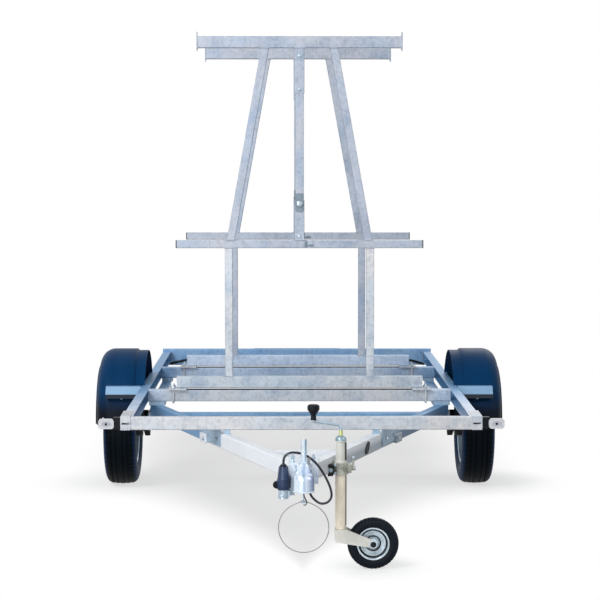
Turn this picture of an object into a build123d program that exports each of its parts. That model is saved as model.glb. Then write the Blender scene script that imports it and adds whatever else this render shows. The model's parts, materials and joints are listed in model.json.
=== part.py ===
"""Boat trailer with a two-frame boat rack, a jockey wheel and two road wheels.

Millimetres.  +Z is up and Z = 0 is the ground.  +Y points to the rear of the
trailer and +X to the viewer's right when the coupling faces the viewer.
"""
import os
from math import acos, atan2, cos, degrees, hypot, radians, sin, tan

from build123d import *

# ------------------------------------------------------------ overall layout
ball_reach = 1040.0        # tow ball centre ahead of the front crossbar
head_r = 43.0              # coupling head
frame_length = 3040.0      # front crossbar face to rear crossbar face
lamp_depth = 45.0          # rear lamps behind the rear crossbar
frame_half = 833.0         # outer half width over the corner plates
deck_z = 565.0             # top of the side rails
beam = 60.0                # height of rails and crossbars
bar = 40.0                 # depth of bars, and side of the rack's square tube
member_depth = 60.0        # depth of the cross-members under the rack
wall = 3.0                 # tube wall
plate = 4.0                # folded sheet
draw_h = 70.0              # height of the drawbar tubes
draw_w = 50.0              # width of the drawbar tubes
spacer = 20.0              # drawbar tubes sit this far below the frame
seat = 0.3                 # clearance where moving or soft faces meet
run_gap = 0.05             # radial running clearance of a pin in a bore

nose_reach = ball_reach + head_r
total_length = nose_reach + frame_length + lamp_depth
front_y = nose_reach - total_length / 2
rear_y = front_y + frame_length
frame_z = deck_z - beam
draw_top = frame_z - spacer
draw_bottom = draw_top - draw_h
draw_mid = (draw_top + draw_bottom) / 2
rail_out = frame_half - plate
rail_w = 50.0
rail_in = rail_out - rail_w
rear_beam = 100.0          # height of the rear crossbar
rear_beam_top = deck_z + 15.0
SIDES = ((-1, "left"), (1, "right"))
ON_END = (Align.CENTER, Align.CENTER, Align.MIN)


# ------------------------------------------------------------------- helpers
def block(x0, x1, y0, y1, z0, z1):
    """Solid box between two corners."""
    size = Box(x1 - x0, y1 - y0, z1 - z0, align=(Align.MIN, Align.MIN, Align.MIN))
    return Pos(x0, y0, z0) * size


def both(shape):
    """A piece and its mirror image on the other side."""
    return [shape, mirror(shape, about=Plane.YZ)]


def section(w, h, t, r):
    """Hollow rectangular tube section with rounded corners."""
    return RectangleRounded(w, h, r) - RectangleRounded(w - 2 * t, h - 2 * t, max(r - t, 0.8))


def tube(p, q, across, w, h, t=wall, r=5.0):
    """Straight hollow tube from p to q; w lies along the direction across."""
    a = Vector(*p)
    b = Vector(*q)
    plane = Plane(origin=a, x_dir=across, z_dir=(b - a).normalized())
    return extrude(plane * section(w, h, t, r), amount=(b - a).length)


def rod(p, q, r):
    """Round bar from p to q."""
    a = Vector(*p)
    b = Vector(*q)
    plane = Plane(origin=a, z_dir=(b - a).normalized())
    return extrude(plane * Circle(r), amount=(b - a).length)


def ring(p, q, r_out, r_in):
    """Round tube from p to q."""
    a = Vector(*p)
    b = Vector(*q)
    plane = Plane(origin=a, z_dir=(b - a).normalized())
    return extrude(plane * (Circle(r_out) - Circle(r_in)), amount=(b - a).length)


def outline_x(points, x0, x1):
    """Flat outline of (y, z) points, as thick as x0 to x1."""
    face = make_face(Polyline(*[(0, y, z) for y, z in points], close=True))
    return Pos(x0, 0, 0) * extrude(face, amount=x1 - x0, dir=(1, 0, 0))


def outline_y(points, y0, y1):
    """Flat outline of (x, z) points, as thick as y0 to y1."""
    face = make_face(Polyline(*[(x, 0, z) for x, z in points], close=True))
    return Pos(0, y0, 0) * extrude(face, amount=y1 - y0, dir=(0, 1, 0))


def spin_x(points, yc, zc):
    """Turn an (x, radius) outline about the X line through (yc, zc)."""
    face = make_face(Polyline(*[(x, 0, radius) for x, radius in points], close=True))
    return Pos(0, yc, zc) * revolve(face, axis=Axis.X)


def cord_radii(points, dia):
    """Arc radius at each inner point of a cord's route."""
    radii = []
    for a, b, c in zip(points, points[1:], points[2:]):
        u = Vector(*b) - Vector(*a)
        v = Vector(*c) - Vector(*b)
        turn = acos(max(-1.0, min(1.0, u.dot(v) / (u.length * v.length))))
        radii.append(0.45 * min(u.length, v.length) / tan(turn / 2))
    print("cord", dia, "radii", [round(r, 1) for r in radii])
    return radii


def cord(points, dia):
    """Plain round tube along straight runs joined by tangent arcs."""
    path = FilletPolyline(*points, radius=cord_radii(points, dia))
    start = Plane(origin=path @ 0, z_dir=path % 0)
    solid = sweep(start * Circle(dia / 2), path=path)
    ideal = path.length * 3.14159265 * dia * dia / 4
    print("cord length", round(path.length, 1), "volume ratio", round(solid.volume / ideal, 5))
    return solid


def save(name, *shapes):
    """Write one sub-component, holding its separate solids."""
    solids = []
    for shape in shapes:
        solids.extend(shape.solids())
    result = solids[0] if len(solids) == 1 else Compound(children=solids)
    result.label = name
    export_step(result, os.path.join("parts", name + ".step"))
    print(name, len(solids), round(sum(s.volume for s in solids) / 1000.0, 1))


os.makedirs("parts", exist_ok=True)

# --------------------------------------------------------------------- frame
bar_front = front_y + plate
bar_back = bar_front + bar
rear_front = rear_y - bar
front_bar_z = (frame_z + deck_z) / 2

slot_l = 35.0              # slot near each end of the front crossbar
slot_h = 8.5
slot_x = frame_half - 24.0
slot_plane = Plane(origin=(slot_x, front_y - 1, front_bar_z), x_dir=(1, 0, 0), z_dir=(0, 1, 0))
slot = extrude(slot_plane * SlotOverall(slot_l, slot_h), amount=plate + wall + 3)
front_crossbar = tube((-rail_out, bar_front + bar / 2, front_bar_z),
                      (rail_out, bar_front + bar / 2, front_bar_z),
                      (0, 1, 0), bar, beam)
save("front_crossbar", front_crossbar - slot - mirror(slot, about=Plane.YZ))
rear_mid_z = rear_beam_top - rear_beam / 2
save("rear_crossbar", tube((-rail_out, rear_y - bar / 2, rear_mid_z),
                           (rail_out, rear_y - bar / 2, rear_mid_z), (0, 1, 0), bar, rear_beam, wall, 6.0))


def side_rail(side):
    """C-shaped rail with its web outside and its flanges inward."""
    full = section(2 * rail_w, beam, plate, 8.0)
    half = full - Pos(-side * rail_w, 0) * Rectangle(2 * rail_w, 2 * beam)
    plane = Plane(origin=(side * rail_in, bar_back, front_bar_z), x_dir=(1, 0, 0), z_dir=(0, -1, 0))
    return extrude(plane * half, amount=-(rear_front - bar_back))


for side, name in SIDES:
    save("side_rail_" + name, side_rail(side))

corner_w = 46.0            # front leg of the folded corner plate
corner_l = 200.0           # its length along the rail
corner = block(frame_half - corner_w, frame_half, front_y, front_y + plate, frame_z, deck_z)
corner += block(rail_out, frame_half, front_y, front_y + corner_l, frame_z, deck_z)
corner += block(frame_half - corner_w, frame_half, front_y, front_y + corner_l, deck_z, deck_z + plate)
corner -= slot
save("corner_brackets", *both(corner))

member_u = (1050.0, 2100.0)        # front faces of the rack frames, centred on the cross-members
member_over = (member_depth - bar) / 2
for u, name in zip(member_u, ("front", "rear")):
    y = front_y + u + bar / 2
    save(name + "_cross_member", tube((-rail_in, y, front_bar_z), (rail_in, y, front_bar_z), (0, 1, 0),
                                      member_depth, beam))

# ------------------------------------------------------------------- drawbar
coupling_reach = 168.0     # tow ball centre ahead of the tubes' front ends
draw_nose_face = 37.616    # outer face of each tube at its front end
draw_member_face = 760.04  # outer face of each tube under the middle of the front cross-member
draw_front_u = coupling_reach - ball_reach
draw_run = member_u[0] + bar / 2 - draw_front_u
draw_slope = (draw_member_face - draw_nose_face) / draw_run
draw_half = draw_w / 2 * hypot(1, draw_slope)
draw_zero = draw_nose_face - draw_half - draw_slope * draw_front_u   # centre line at the crossbar's face
draw_par = frame_half - 81.0           # centre line where the tubes run straight back
draw_bend_u = (draw_par - draw_zero) / draw_slope
draw_rear_u = 2160.0
draw_bend_r = 260.0
draw_angle = atan2(draw_slope, 1)


def draw_face_x(u):
    """Outer face of the right drawbar tube."""
    return draw_zero + draw_half + draw_slope * u


def drawbar(side):
    """Bent rectangular tube, mitred on the centre line."""
    lead = 80.0
    path = FilletPolyline(
        (side * (draw_zero + draw_slope * (draw_front_u - lead)), front_y + draw_front_u - lead, draw_mid),
        (side * draw_par, front_y + draw_bend_u, draw_mid),
        (side * draw_par, front_y + draw_rear_u, draw_mid), radius=draw_bend_r)
    start = Plane(origin=path @ 0, x_dir=(0, 0, 1), z_dir=path % 0)
    outer = sweep(start * RectangleRounded(draw_h, draw_w, 6.0), path=path)
    inner = sweep(start * RectangleRounded(draw_h - 2 * wall, draw_w - 2 * wall, 3.0), path=path)
    keep = block(0, 2 * frame_half, front_y + draw_front_u, front_y + draw_rear_u, draw_bottom - 10,
                 draw_top + 10)
    if side < 0:
        keep = mirror(keep, about=Plane.YZ)
    return (outer - inner) & keep


for side, name in SIDES:
    save("drawbar_" + name, drawbar(side))

# short spacer channels between the drawbar tubes and the frame
spacer_wall = 5.0
spacers = []
for u, depth, centre, width in ((plate, bar, draw_zero + draw_slope * (plate + bar / 2), 30.0),
                                (member_u[0] - member_over, member_depth,
                                 draw_zero + draw_slope * (member_u[0] + bar / 2), 84.0),
                                (member_u[1] - member_over, member_depth, draw_par - 6.0, 60.0)):
    high = min(centre + width / 2, rail_in - 2.0)
    shape = block(centre - width / 2, high, front_y + u, front_y + u + depth, draw_top, frame_z)
    shape -= block(centre - width / 2 - 1, high + 1, front_y + u + spacer_wall,
                   front_y + u + depth - spacer_wall,
                   draw_top + spacer_wall, frame_z - spacer_wall)
    spacers.extend(both(shape))
# gusset plates on the outer faces, up to the underside of the front crossbar
gusset_u = plate + bar / 2 + 4.0
gusset_t = 6.0
gusset_h = draw_h - 12.0 + spacer
gusset = Plane(origin=(draw_face_x(gusset_u), front_y + gusset_u, frame_z - gusset_h),
               x_dir=(sin(draw_angle), cos(draw_angle), 0),
               z_dir=(cos(draw_angle), -sin(draw_angle), 0)) * Box(
    210, gusset_h, gusset_t, align=(Align.MIN, Align.MIN, Align.MIN))
gusset = gusset & block(0, rail_in, bar_front + 1, rear_y, draw_bottom, frame_z)
spacers.extend(both(gusset))
save("drawbar_brackets", *spacers)

# cross tie between the two drawbar tubes, behind the coupling
tie_u0 = -505.0
tie_u1 = -458.0


def inner_face_x(u):
    """Inner face of the right drawbar tube."""
    return draw_zero - draw_half + draw_slope * u - seat


tie_face = make_face(Polyline((-inner_face_x(tie_u0), front_y + tie_u0, 0),
                              (inner_face_x(tie_u0), front_y + tie_u0, 0),
                              (inner_face_x(tie_u1), front_y + tie_u1, 0),
                              (-inner_face_x(tie_u1), front_y + tie_u1, 0),
                              close=True))
tie = Pos(0, 0, draw_bottom) * extrude(tie_face, amount=draw_h, dir=(0, 0, 1))
tie -= block(-frame_half, frame_half, front_y + tie_u0 + wall, front_y + tie_u1 - wall, draw_bottom + wall,
             draw_top - wall)
save("drawbar_cross_tie", tie)

# ------------------------------------------------------------- axle and arms
wheel_u = 1530.0
wheel_r = 302.0
wheel_x = frame_half + 116.0
wheel_y = front_y + wheel_u
arm_drop = 63.0
arm_back = 136.0
axle_side = 70.0
axle_y = wheel_y - arm_back
axle_z = wheel_r + arm_drop
axle_half = frame_half - 28.0
axle_top = axle_z + axle_side / 2
save("axle_beam", tube((-axle_half, axle_y, axle_z), (axle_half, axle_y, axle_z), (0, 1, 0),
                       axle_side, axle_side, 5.0, 8.0))

arm_t = 26.0
arm_r0 = 50.0
arm_r1 = 45.0
stub_r = 20.0
hub_in = axle_half + arm_t + 12.0          # inner face of the wheel hub
stub_end = wheel_x + 10.0
arm_plane = Plane(origin=(axle_half, 0, 0), x_dir=(0, 1, 0), z_dir=(1, 0, 0))
reach = hypot(arm_drop, arm_back)
tilt = degrees(atan2(-arm_drop, arm_back))
arm_face = Circle(arm_r0) + Pos(reach, 0) * Circle(arm_r1)
taper = (arm_r0 - arm_r1) / reach
touch = (1 - taper * taper) ** 0.5
arm_face += make_face(Polyline((arm_r0 * taper, arm_r0 * touch), (reach + arm_r1 * taper, arm_r1 * touch),
                               (reach + arm_r1 * taper, -arm_r1 * touch), (arm_r0 * taper, -arm_r0 * touch),
                               close=True))
arm = extrude(arm_plane * (Pos(axle_y, axle_z) * Rot(0, 0, tilt) * arm_face), amount=arm_t)
arm += rod((axle_half + arm_t / 2, wheel_y, wheel_r), (stub_end, wheel_y, wheel_r), stub_r)
save("suspension_arms", *both(arm))

pad_t = draw_bottom - axle_top
pad = block(draw_par - 50, axle_half - 6, axle_y - 85, axle_y + 85, draw_bottom - 8, draw_bottom)
pad += block(draw_par - 50, axle_half - 6, axle_y - axle_side / 2, axle_y + axle_side / 2,
             axle_top, draw_bottom - 8)
for face_y in (axle_y - axle_side / 2 - 8, axle_y + axle_side / 2):
    pad += block(axle_half - 34, axle_half - 6, face_y, face_y + 8, axle_z - 8, draw_bottom)
save("axle_brackets", *both(pad))

# --------------------------------------------------------------- road wheels
tyre_half = 87.0
bead_r = 178.0
bead_half = 66.0
flange_r = 190.0
rim_t = 4.0
hub_r = 46.0
hub_out = wheel_x + 24.0
tyre_outline = [(-bead_half, bead_r), (-bead_half, flange_r - 4), (-bead_half - 2, flange_r + 6),
                (-tyre_half * 0.93, 216), (-tyre_half, 240), (-tyre_half * 0.95, 268),
                (-tyre_half * 0.80, wheel_r - 12), (-tyre_half * 0.66, wheel_r - 4),
                (-tyre_half * 0.35, wheel_r)]
tyre_outline += [(-x, radius) for x, radius in reversed(tyre_outline)]
rim_outline = [(-bead_half - rim_t - 4, flange_r + 2), (-bead_half - rim_t - 4, flange_r - 2),
               (-bead_half - rim_t, flange_r - 6), (-bead_half - rim_t, bead_r - rim_t),
               (-34, bead_r - rim_t), (-28, 160), (18, 160), (26, bead_r - rim_t),
               (bead_half + rim_t, bead_r - rim_t), (bead_half + rim_t, flange_r - 6),
               (bead_half + rim_t + 4, flange_r - 2), (bead_half + rim_t + 4, flange_r + 2),
               (bead_half, flange_r - 4), (bead_half, bead_r), (30, bead_r), (22, 164),
               (-32, 164), (-38, bead_r), (-bead_half, bead_r), (-bead_half, flange_r - 4)]
disc_outline = [(2, 0), (14, 0), (14, 62), (30, 88), (30, 112), (16, 138), (-2, 160.5), (-10, 160.5),
                (8, 132), (22, 108), (22, 92), (6, 66), (2, 62)]


def at_side(points, centre):
    """Shift an (x, radius) outline to its place along the axle."""
    return [(centre + x, radius) for x, radius in points]


tyre = spin_x(at_side(tyre_outline, wheel_x), wheel_y, wheel_r)
rim = spin_x(at_side(rim_outline, wheel_x), wheel_y, wheel_r)
rim += spin_x(at_side(disc_outline, wheel_x), wheel_y, wheel_r)
rim += rod((hub_in, wheel_y, wheel_r), (hub_out, wheel_y, wheel_r), hub_r)
rim += rod((hub_out, wheel_y, wheel_r), (hub_out + 22, wheel_y, wheel_r), 30)
window_n = 10
for k in range(window_n):
    a = radians(360 / window_n * k)
    wy = wheel_y + 126 * sin(a)
    wz = wheel_r + 126 * cos(a)
    rim -= rod((wheel_x - 10, wy, wz), (wheel_x + 34, wy, wz), 13)
rim -= rod((hub_in - 1, wheel_y, wheel_r), (stub_end + 1, wheel_y, wheel_r), stub_r + run_gap)
for (side, name), tyre_side, rim_side in zip(reversed(SIDES), both(tyre), both(rim)):
    save("tyre_" + name, tyre_side)
    save("rim_" + name, rim_side)

# ----------------------------------------------------------------- mudguards
guard_r = wheel_r + 68.0
guard_z = wheel_r + 58.0
guard_in = frame_half - 22.0
guard_out = frame_half + 230.0
guard_t = 4.0
shoulder = 75.0
lip = 14.0
step = 9.0                 # the inner strip lies lower than the crown
step_x = guard_in + 61.0
skirt_r = guard_r - 92.0
guard_end_z = guard_z + 44.0       # the crown's front and rear edges


def guard_profile(out_r, grow):
    """One skin of the mudguard's section as (x, radius) points."""
    pts = [(guard_in, out_r - step - grow), (step_x - 8 - grow, out_r - step - grow),
           (step_x - grow, out_r - grow)]
    for k in range(0, 7):
        a = radians(15 * k)
        cx = guard_out - shoulder
        cr = out_r - shoulder
        pts.append((cx + (shoulder - grow) * sin(a), cr + (shoulder - grow) * cos(a)))
    return pts


skin = guard_profile(guard_r, 0.0)
back = guard_profile(guard_r, guard_t)
guard_outline = skin + [(guard_out, skirt_r + 6), (guard_out + lip - 6, skirt_r + 3),
                        (guard_out + lip - 6, skirt_r - 3),
                        (guard_out - guard_t, skirt_r)] + list(reversed(back))
guard_face = make_face(Polyline(*[(x, 0, r) for x, r in guard_outline], close=True))
guard = Pos(0, wheel_y, guard_z) * revolve(Rot(-90, 0, 0) * guard_face, axis=Axis.X, revolution_arc=180)
guard -= block(guard_in - 5, guard_out - 24, wheel_y - 500, wheel_y + 500, guard_z - 10, guard_end_z)
guard -= block(guard_in - 5, rail_out + seat, wheel_y - 500, wheel_y + 500, frame_z - 3, deck_z + seat)
print("guard box", guard.bounding_box())
for (side, name), shape in zip(reversed(SIDES), both(guard)):
    save("mudguard_" + name, shape)

stay_out = guard_out - 53.0
stays = []
for face in (-1, 1):
    y_far = wheel_y + face * (guard_r + 2)
    points = [(y_far + face * -26, deck_z), (y_far + face * 4, frame_z + 22), (y_far, frame_z),
              (y_far - face * 60, frame_z), (y_far - face * 90, deck_z)]
    stay = outline_x(points, rail_out, stay_out)
    stay -= rod((rail_out - 5, wheel_y, guard_z), (stay_out + 5, wheel_y, guard_z), guard_r)
    stays.extend(both(stay))
save("mudguard_stays", *stays)

# -------------------------------------------------------------- rack frames
foot_t = 8.0
base_z = deck_z + foot_t
base_half = rail_in - 146.0
foot_in = base_half - 53.0
foot_out = base_half + 39.0
post_x = 363.0
mid_z = 1294.0
mid_half = 635.0
cap_t = 5.0
leg_low_x = post_x - 10.0
leg_high_x = 176.0
top_z = 2313.0
top_half = 525.0
end_t = 5.0
end_low = top_z - 13.0
end_high = top_z + beam + 22.0
centre_w = 43.0
sleeve_w = 50.0
bolt_r = 5.0
u_bolt_x = base_half + 17.0

feet = []
caps = []
for u, name in zip(member_u, ("front", "rear")):
    y0 = front_y + u
    y1 = y0 + bar
    y = (y0 + y1) / 2
    save(name + "_base_beam", tube((-base_half, y, base_z + beam / 2), (base_half, y, base_z + beam / 2),
                                   (0, 1, 0), bar, beam))
    posts = tube((post_x, y, base_z + beam), (post_x, y, mid_z), (0, 1, 0), bar, bar, wall, 4.0)
    save(name + "_uprights", *both(posts))
    save(name + "_mid_bar",
         tube((-mid_half + cap_t, y, mid_z + bar / 2), (mid_half - cap_t, y, mid_z + bar / 2),
                                 (0, 1, 0), bar, bar, wall, 4.0))
    slope = (leg_high_x - leg_low_x) / (top_z - mid_z - bar)
    leg = tube((leg_low_x - slope * 60, y, mid_z + bar - 60), (leg_high_x + slope * 60, y, top_z + 60),
               (0, 1, 0), bar, bar, wall, 4.0)
    leg = leg & block(0, 600, y0 - 10, y1 + 10, mid_z + bar, top_z)
    save(name + "_legs", *both(leg))
    top = tube((-top_half + end_t, y, top_z + beam / 2), (top_half - end_t, y, top_z + beam / 2),
               (0, 1, 0), bar, beam)
    end = block(top_half - end_t, top_half, y0, y1, end_low, end_high)
    save(name + "_top_bar", top + end + mirror(end, about=Plane.YZ))
    low = mid_z + bar
    centre = tube((0, y, low), (0, y, top_z), (1, 0, 0), centre_w, bar - 6, wall, 4.0)
    for z0, z1 in ((low, low + 205), (top_z - 228, top_z)):
        centre += tube((0, y, z0), (0, y, z1), (1, 0, 0), sleeve_w, bar, (bar - (bar - 6)) / 2, 3.0)
        centre += block(-sleeve_w / 2, -centre_w / 2, y - 8, y + 8, z0, z1)
        centre += block(centre_w / 2, sleeve_w / 2, y - 8, y + 8, z0, z1)
    save(name + "_centre_post", centre)
    for side in (-1, 1):
        x0 = foot_in if side > 0 else -foot_out
        x1 = foot_out if side > 0 else -foot_in
        pad = block(x0, x1, y0 - member_over - 18, y1 + member_over + 18, deck_z, base_z)
        xb = side * u_bolt_x
        bolt_top = base_z + 14.0
        bolt_low = frame_z - seat - bolt_r
        off = member_depth / 2 + seat + bolt_r
        path = FilletPolyline((xb, y - off, bolt_top), (xb, y - off, bolt_low), (xb, y + off, bolt_low),
                              (xb, y + off, bolt_top), radius=5.2)
        bolt = sweep(Plane(origin=path @ 0, z_dir=path % 0) * Circle(bolt_r), path=path)
        for yb in (y - off, y + off):
            bolt += rod((xb, yb, base_z), (xb, yb, base_z + 8), 8.5)
        feet.extend((pad + bolt).solids())
        cap_x0 = mid_half - cap_t if side > 0 else -mid_half
        caps.append(block(cap_x0, cap_x0 + cap_t, y0, y1, mid_z, mid_z + bar))
save("rack_feet", *feet)
save("bar_end_caps", *caps)

# ------------------------------------------------------------------ coupling
ball_y = front_y - ball_reach
ball_r = 25.5
head_z0 = draw_bottom - 13.0
head_z1 = draw_top - 8.0
socket_wall = 22.0
neck_half = 33.0
hump_top = draw_top + 25.0
hump_u0 = ball_reach - 40.0      # lever block's front face ahead of the crossbar
hump_u1 = 13.0                  # its rear face ahead of the mounting plate
mount_half = 62.0
mount_t = 8.0
mount_y = front_y + draw_front_u
head = Pos(0, ball_y, head_z0) * Cylinder(head_r, head_z1 - head_z0, align=ON_END)
head = fillet(head.edges().group_by(Axis.Z)[-1], radius=24.0)
neck = block(-neck_half, neck_half, ball_y, mount_y - mount_t, draw_bottom, draw_top - 12)
neck = fillet(neck.edges().filter_by(Axis.Y).group_by(Axis.Z)[-1], radius=14.0)
hump = outline_y([(-30, draw_mid - 5), (30, draw_mid - 5), (30, draw_top - 14), (14, hump_top),
                  (-14, hump_top),
                  (-30, draw_top - 14)], front_y - hump_u0, mount_y - hump_u1)
hump = fillet(hump.edges().group_by(Axis.Z)[-1].filter_by(Axis.X), radius=10.0)
body = head + neck + hump
body += block(-mount_half, mount_half, mount_y - mount_t, mount_y, draw_bottom - 8, draw_top + 8)
body += block(-mount_half, mount_half, mount_y - mount_t, mount_y + 170, draw_top, draw_top + 8)
body -= Pos(0, ball_y, head_z0 - 1) * Cylinder(ball_r, socket_wall + 1, align=ON_END)
body -= Pos(0, ball_y, head_z0 + socket_wall) * Sphere(ball_r)
save("coupling_body", body)

lever_half = 11.5
lever_y = front_y - hump_u0 + 28
lever_top = hump_top + 99.0
lever_t = 9.0
lever = outline_x([(lever_y - lever_t / 2, hump_top), (lever_y + 34, hump_top), (lever_y + 14, hump_top + 30),
                   (lever_y - 6, lever_top - 10), (lever_y - 2, lever_top), (lever_y - 24, lever_top),
                   (lever_y - 22, lever_top - 12)], -lever_half, lever_half)
save("coupling_lever", lever)

# plug in its parking cup, in front of the left edge of the coupling's mounting plate
plug_x = -mount_half - 21.0
plug_y = mount_y - mount_t - 30.0
plug_r = 26.0
plug_top_r = 19.0
pin_len = 26.0
cup_r = 21.0
cup_z0 = draw_bottom - 63.0
cup_z1 = draw_bottom - 26.0
plug_top = draw_top + 1.0
gland_top = draw_top + 12.0
cable_d = 10.0
cup = Pos(plug_x, plug_y, cup_z0) * Cylinder(cup_r, cup_z1 - cup_z0, align=ON_END)
cup -= Pos(plug_x, plug_y, cup_z0 + plate) * Cylinder(cup_r - 3 + seat, cup_z1 - cup_z0,
                                                     align=ON_END)
strap = block(-mount_half + 2, -neck_half - 3, mount_y - mount_t - plate, mount_y - mount_t, cup_z0 + 8,
              draw_bottom + 20)
strap += block(plug_x + cup_r - 4, -mount_half + 2 + plate, plug_y - 12, mount_y - mount_t, cup_z0 + 8,
               cup_z1 - 4)
strap -= Pos(plug_x, plug_y, cup_z0 - 1) * Cylinder(cup_r - 1, cup_z1 - cup_z0 + 2,
                                                    align=ON_END)
save("plug_holder", cup + strap)
plug = Pos(plug_x, plug_y, cup_z1 - pin_len) * Cylinder(cup_r - 3, pin_len, align=ON_END)
plug += Pos(plug_x, plug_y, cup_z1) * Cone(plug_r - 2, plug_r, 36, align=ON_END)
plug += Pos(plug_x, plug_y, cup_z1 + 36) * Cone(plug_r, plug_top_r, plug_top - cup_z1 - 36,
                                                align=ON_END)
tail = Pos(plug_x, plug_y, plug_top) * Cone(cable_d * 1.3, cable_d * 0.75, gland_top - plug_top,
                                            align=ON_END)
save("plug", plug + tail)

# trailer cable: leaves under the drawbar's nose, rises past the coupling to the plug
exit_x = 22.0
exit_y = mount_y + 12
gland_len = 16.0
exit_z = draw_bottom - gland_len
gland = Pos(exit_x, exit_y, exit_z) * Cone(cable_d * 0.7, cable_d * 1.0, gland_len,
                                           align=ON_END)
save("cable_gland", gland)
cable_points = [
    (exit_x, exit_y, exit_z),
    (exit_x + 2, exit_y - 8, exit_z - 24),
    (exit_x + 10, exit_y - 23, exit_z - 43),
    (exit_x + 26, exit_y - 36, exit_z - 58),
    (exit_x + 48, exit_y - 43, exit_z - 72),
    (exit_x + 77, exit_y - 46, exit_z - 67),
    (exit_x + 95, exit_y - 47, exit_z - 44),
    (exit_x + 92, exit_y - 47, exit_z - 14),
    (exit_x + 82, exit_y - 47, exit_z + 14),
    (exit_x + 69, exit_y - 47, exit_z + 41),
    (exit_x + 54, exit_y - 47, exit_z + 67),
    (exit_x + 37, exit_y - 47, exit_z + 91),
    (exit_x + 16, exit_y - 46, exit_z + 113),
    (exit_x - 8, exit_y - 46, exit_z + 129),
    (plug_x + 75, plug_y + 3, gland_top + 41),
    (plug_x + 49, plug_y + 1, gland_top + 46),
    (plug_x + 26, plug_y, gland_top + 45.2),
    (plug_x + 9.2, plug_y, gland_top + 35.6),
    (plug_x, plug_y, gland_top + 19),
    (plug_x, plug_y, gland_top),
]
save("cable", cord(cable_points, cable_d))

# thin safety wire: a ring of wire hung from a clip under the coupling neck
wire_d = 4.0
loop_y = mount_y - 78
clip_z = draw_bottom - 70.0
loop_r = 107.0
loop_z = clip_z - loop_r
sleeve_half = 12.0
clip = rod((0, loop_y, clip_z + 4), (0, loop_y, draw_bottom), 3.0)
clip += rod((-sleeve_half, loop_y, clip_z), (sleeve_half, loop_y, clip_z), 5.0)
save("loop_clip", clip)
loop_n = 12
loop_points = [(sleeve_half, loop_y, clip_z)]
for k in range(1, loop_n):
    a = radians(90 - 360 / loop_n * k)
    loop_points.append((loop_r * cos(a), loop_y, loop_z + loop_r * sin(a)))
loop_points.append((-sleeve_half, loop_y, clip_z))
save("safety_loop", cord(loop_points, wire_d))

# -------------------------------------------------------------- jockey wheel
jock_u = -640.0
jock_x = draw_face_x(jock_u) + 38.0
jock_y = front_y + jock_u
jock_r = 24.0
jock_bore = 21.0
tube_z0 = 182.0
clamp_z0 = draw_bottom - 6.0
clamp_z1 = draw_bottom + 42.0
collar_z = clamp_z1 + 10.0
head_tube_r = 21.5
cap_z = collar_z + 82.0
clamp_r = 33.0
across = Vector(cos(draw_angle), -sin(draw_angle), 0)
gap = (jock_x - draw_face_x(jock_u)) * cos(draw_angle)
foot = Vector(jock_x, jock_y, clamp_z0) - across * gap
bracket = Plane(origin=foot, x_dir=across, z_dir=(0, 0, 1)) * Box(
    gap, 50, clamp_z1 - clamp_z0, align=(Align.MIN, Align.CENTER, Align.MIN))
clamp = bracket + rod((jock_x, jock_y, clamp_z0), (jock_x, jock_y, clamp_z1), clamp_r)
lug_x = jock_x + clamp_r
clamp_mid = (clamp_z0 + clamp_z1) / 2
clamp += block(jock_x + jock_r + 4, lug_x + 12, jock_y - 16, jock_y + 16, clamp_z0 + 6, clamp_z1 - 6)
clamp += rod((lug_x, jock_y, clamp_mid), (lug_x + 26, jock_y, clamp_mid), 8.0)
clamp += rod((lug_x + 19, jock_y, clamp_mid - 9), (lug_x + 19, jock_y, clamp_mid + 46), 5.5)
clamp -= rod((jock_x, jock_y, clamp_z0 - 1), (jock_x, jock_y, clamp_z1 + 1), jock_r + seat)
save("jockey_clamp", clamp)

outer = rod((jock_x, jock_y, tube_z0), (jock_x, jock_y, collar_z), jock_r)
outer += rod((jock_x, jock_y, collar_z), (jock_x, jock_y, cap_z), head_tube_r)
outer -= rod((jock_x, jock_y, tube_z0 - 1), (jock_x, jock_y, collar_z), jock_bore)
save("jockey_tube", outer)

crank_r = 7.0
crank_z = cap_z + 70.0
knob_x = jock_x - 117.0
crank_path = FilletPolyline((jock_x, jock_y, cap_z), (jock_x, jock_y, crank_z),
                            (knob_x, jock_y, crank_z + 16), radius=20.0)
crank = sweep(Plane(origin=crank_path @ 0, z_dir=crank_path % 0) * Circle(crank_r), path=crank_path)
crank += Pos(jock_x, jock_y, cap_z) * Cone(head_tube_r + 2, 11, 22, align=ON_END)
save("jockey_crank", crank)
knob_z = crank_z + 16 + crank_r - 1
knob = Pos(knob_x, jock_y, knob_z) * Cone(13, 11, 20, align=ON_END)
knob += Pos(knob_x, jock_y, knob_z + 20) * Cone(11, 26, 24, align=ON_END)
knob += Pos(knob_x, jock_y, knob_z + 44) * Cylinder(26, 22, align=ON_END)
knob = fillet(knob.edges().group_by(Axis.Z)[-1], radius=10.0)
knob -= crank
save("crank_knob", knob)

stem_r = 8.0
leg_top = collar_z - 10
inner = ring((jock_x, jock_y, tube_z0 - 8), (jock_x, jock_y, leg_top), jock_bore - run_gap, jock_bore - 4)
inner += ring((jock_x, jock_y, tube_z0 - 8), (jock_x, jock_y, tube_z0 + 16), jock_bore - run_gap,
              stem_r + run_gap)
save("jockey_leg", inner)

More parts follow.
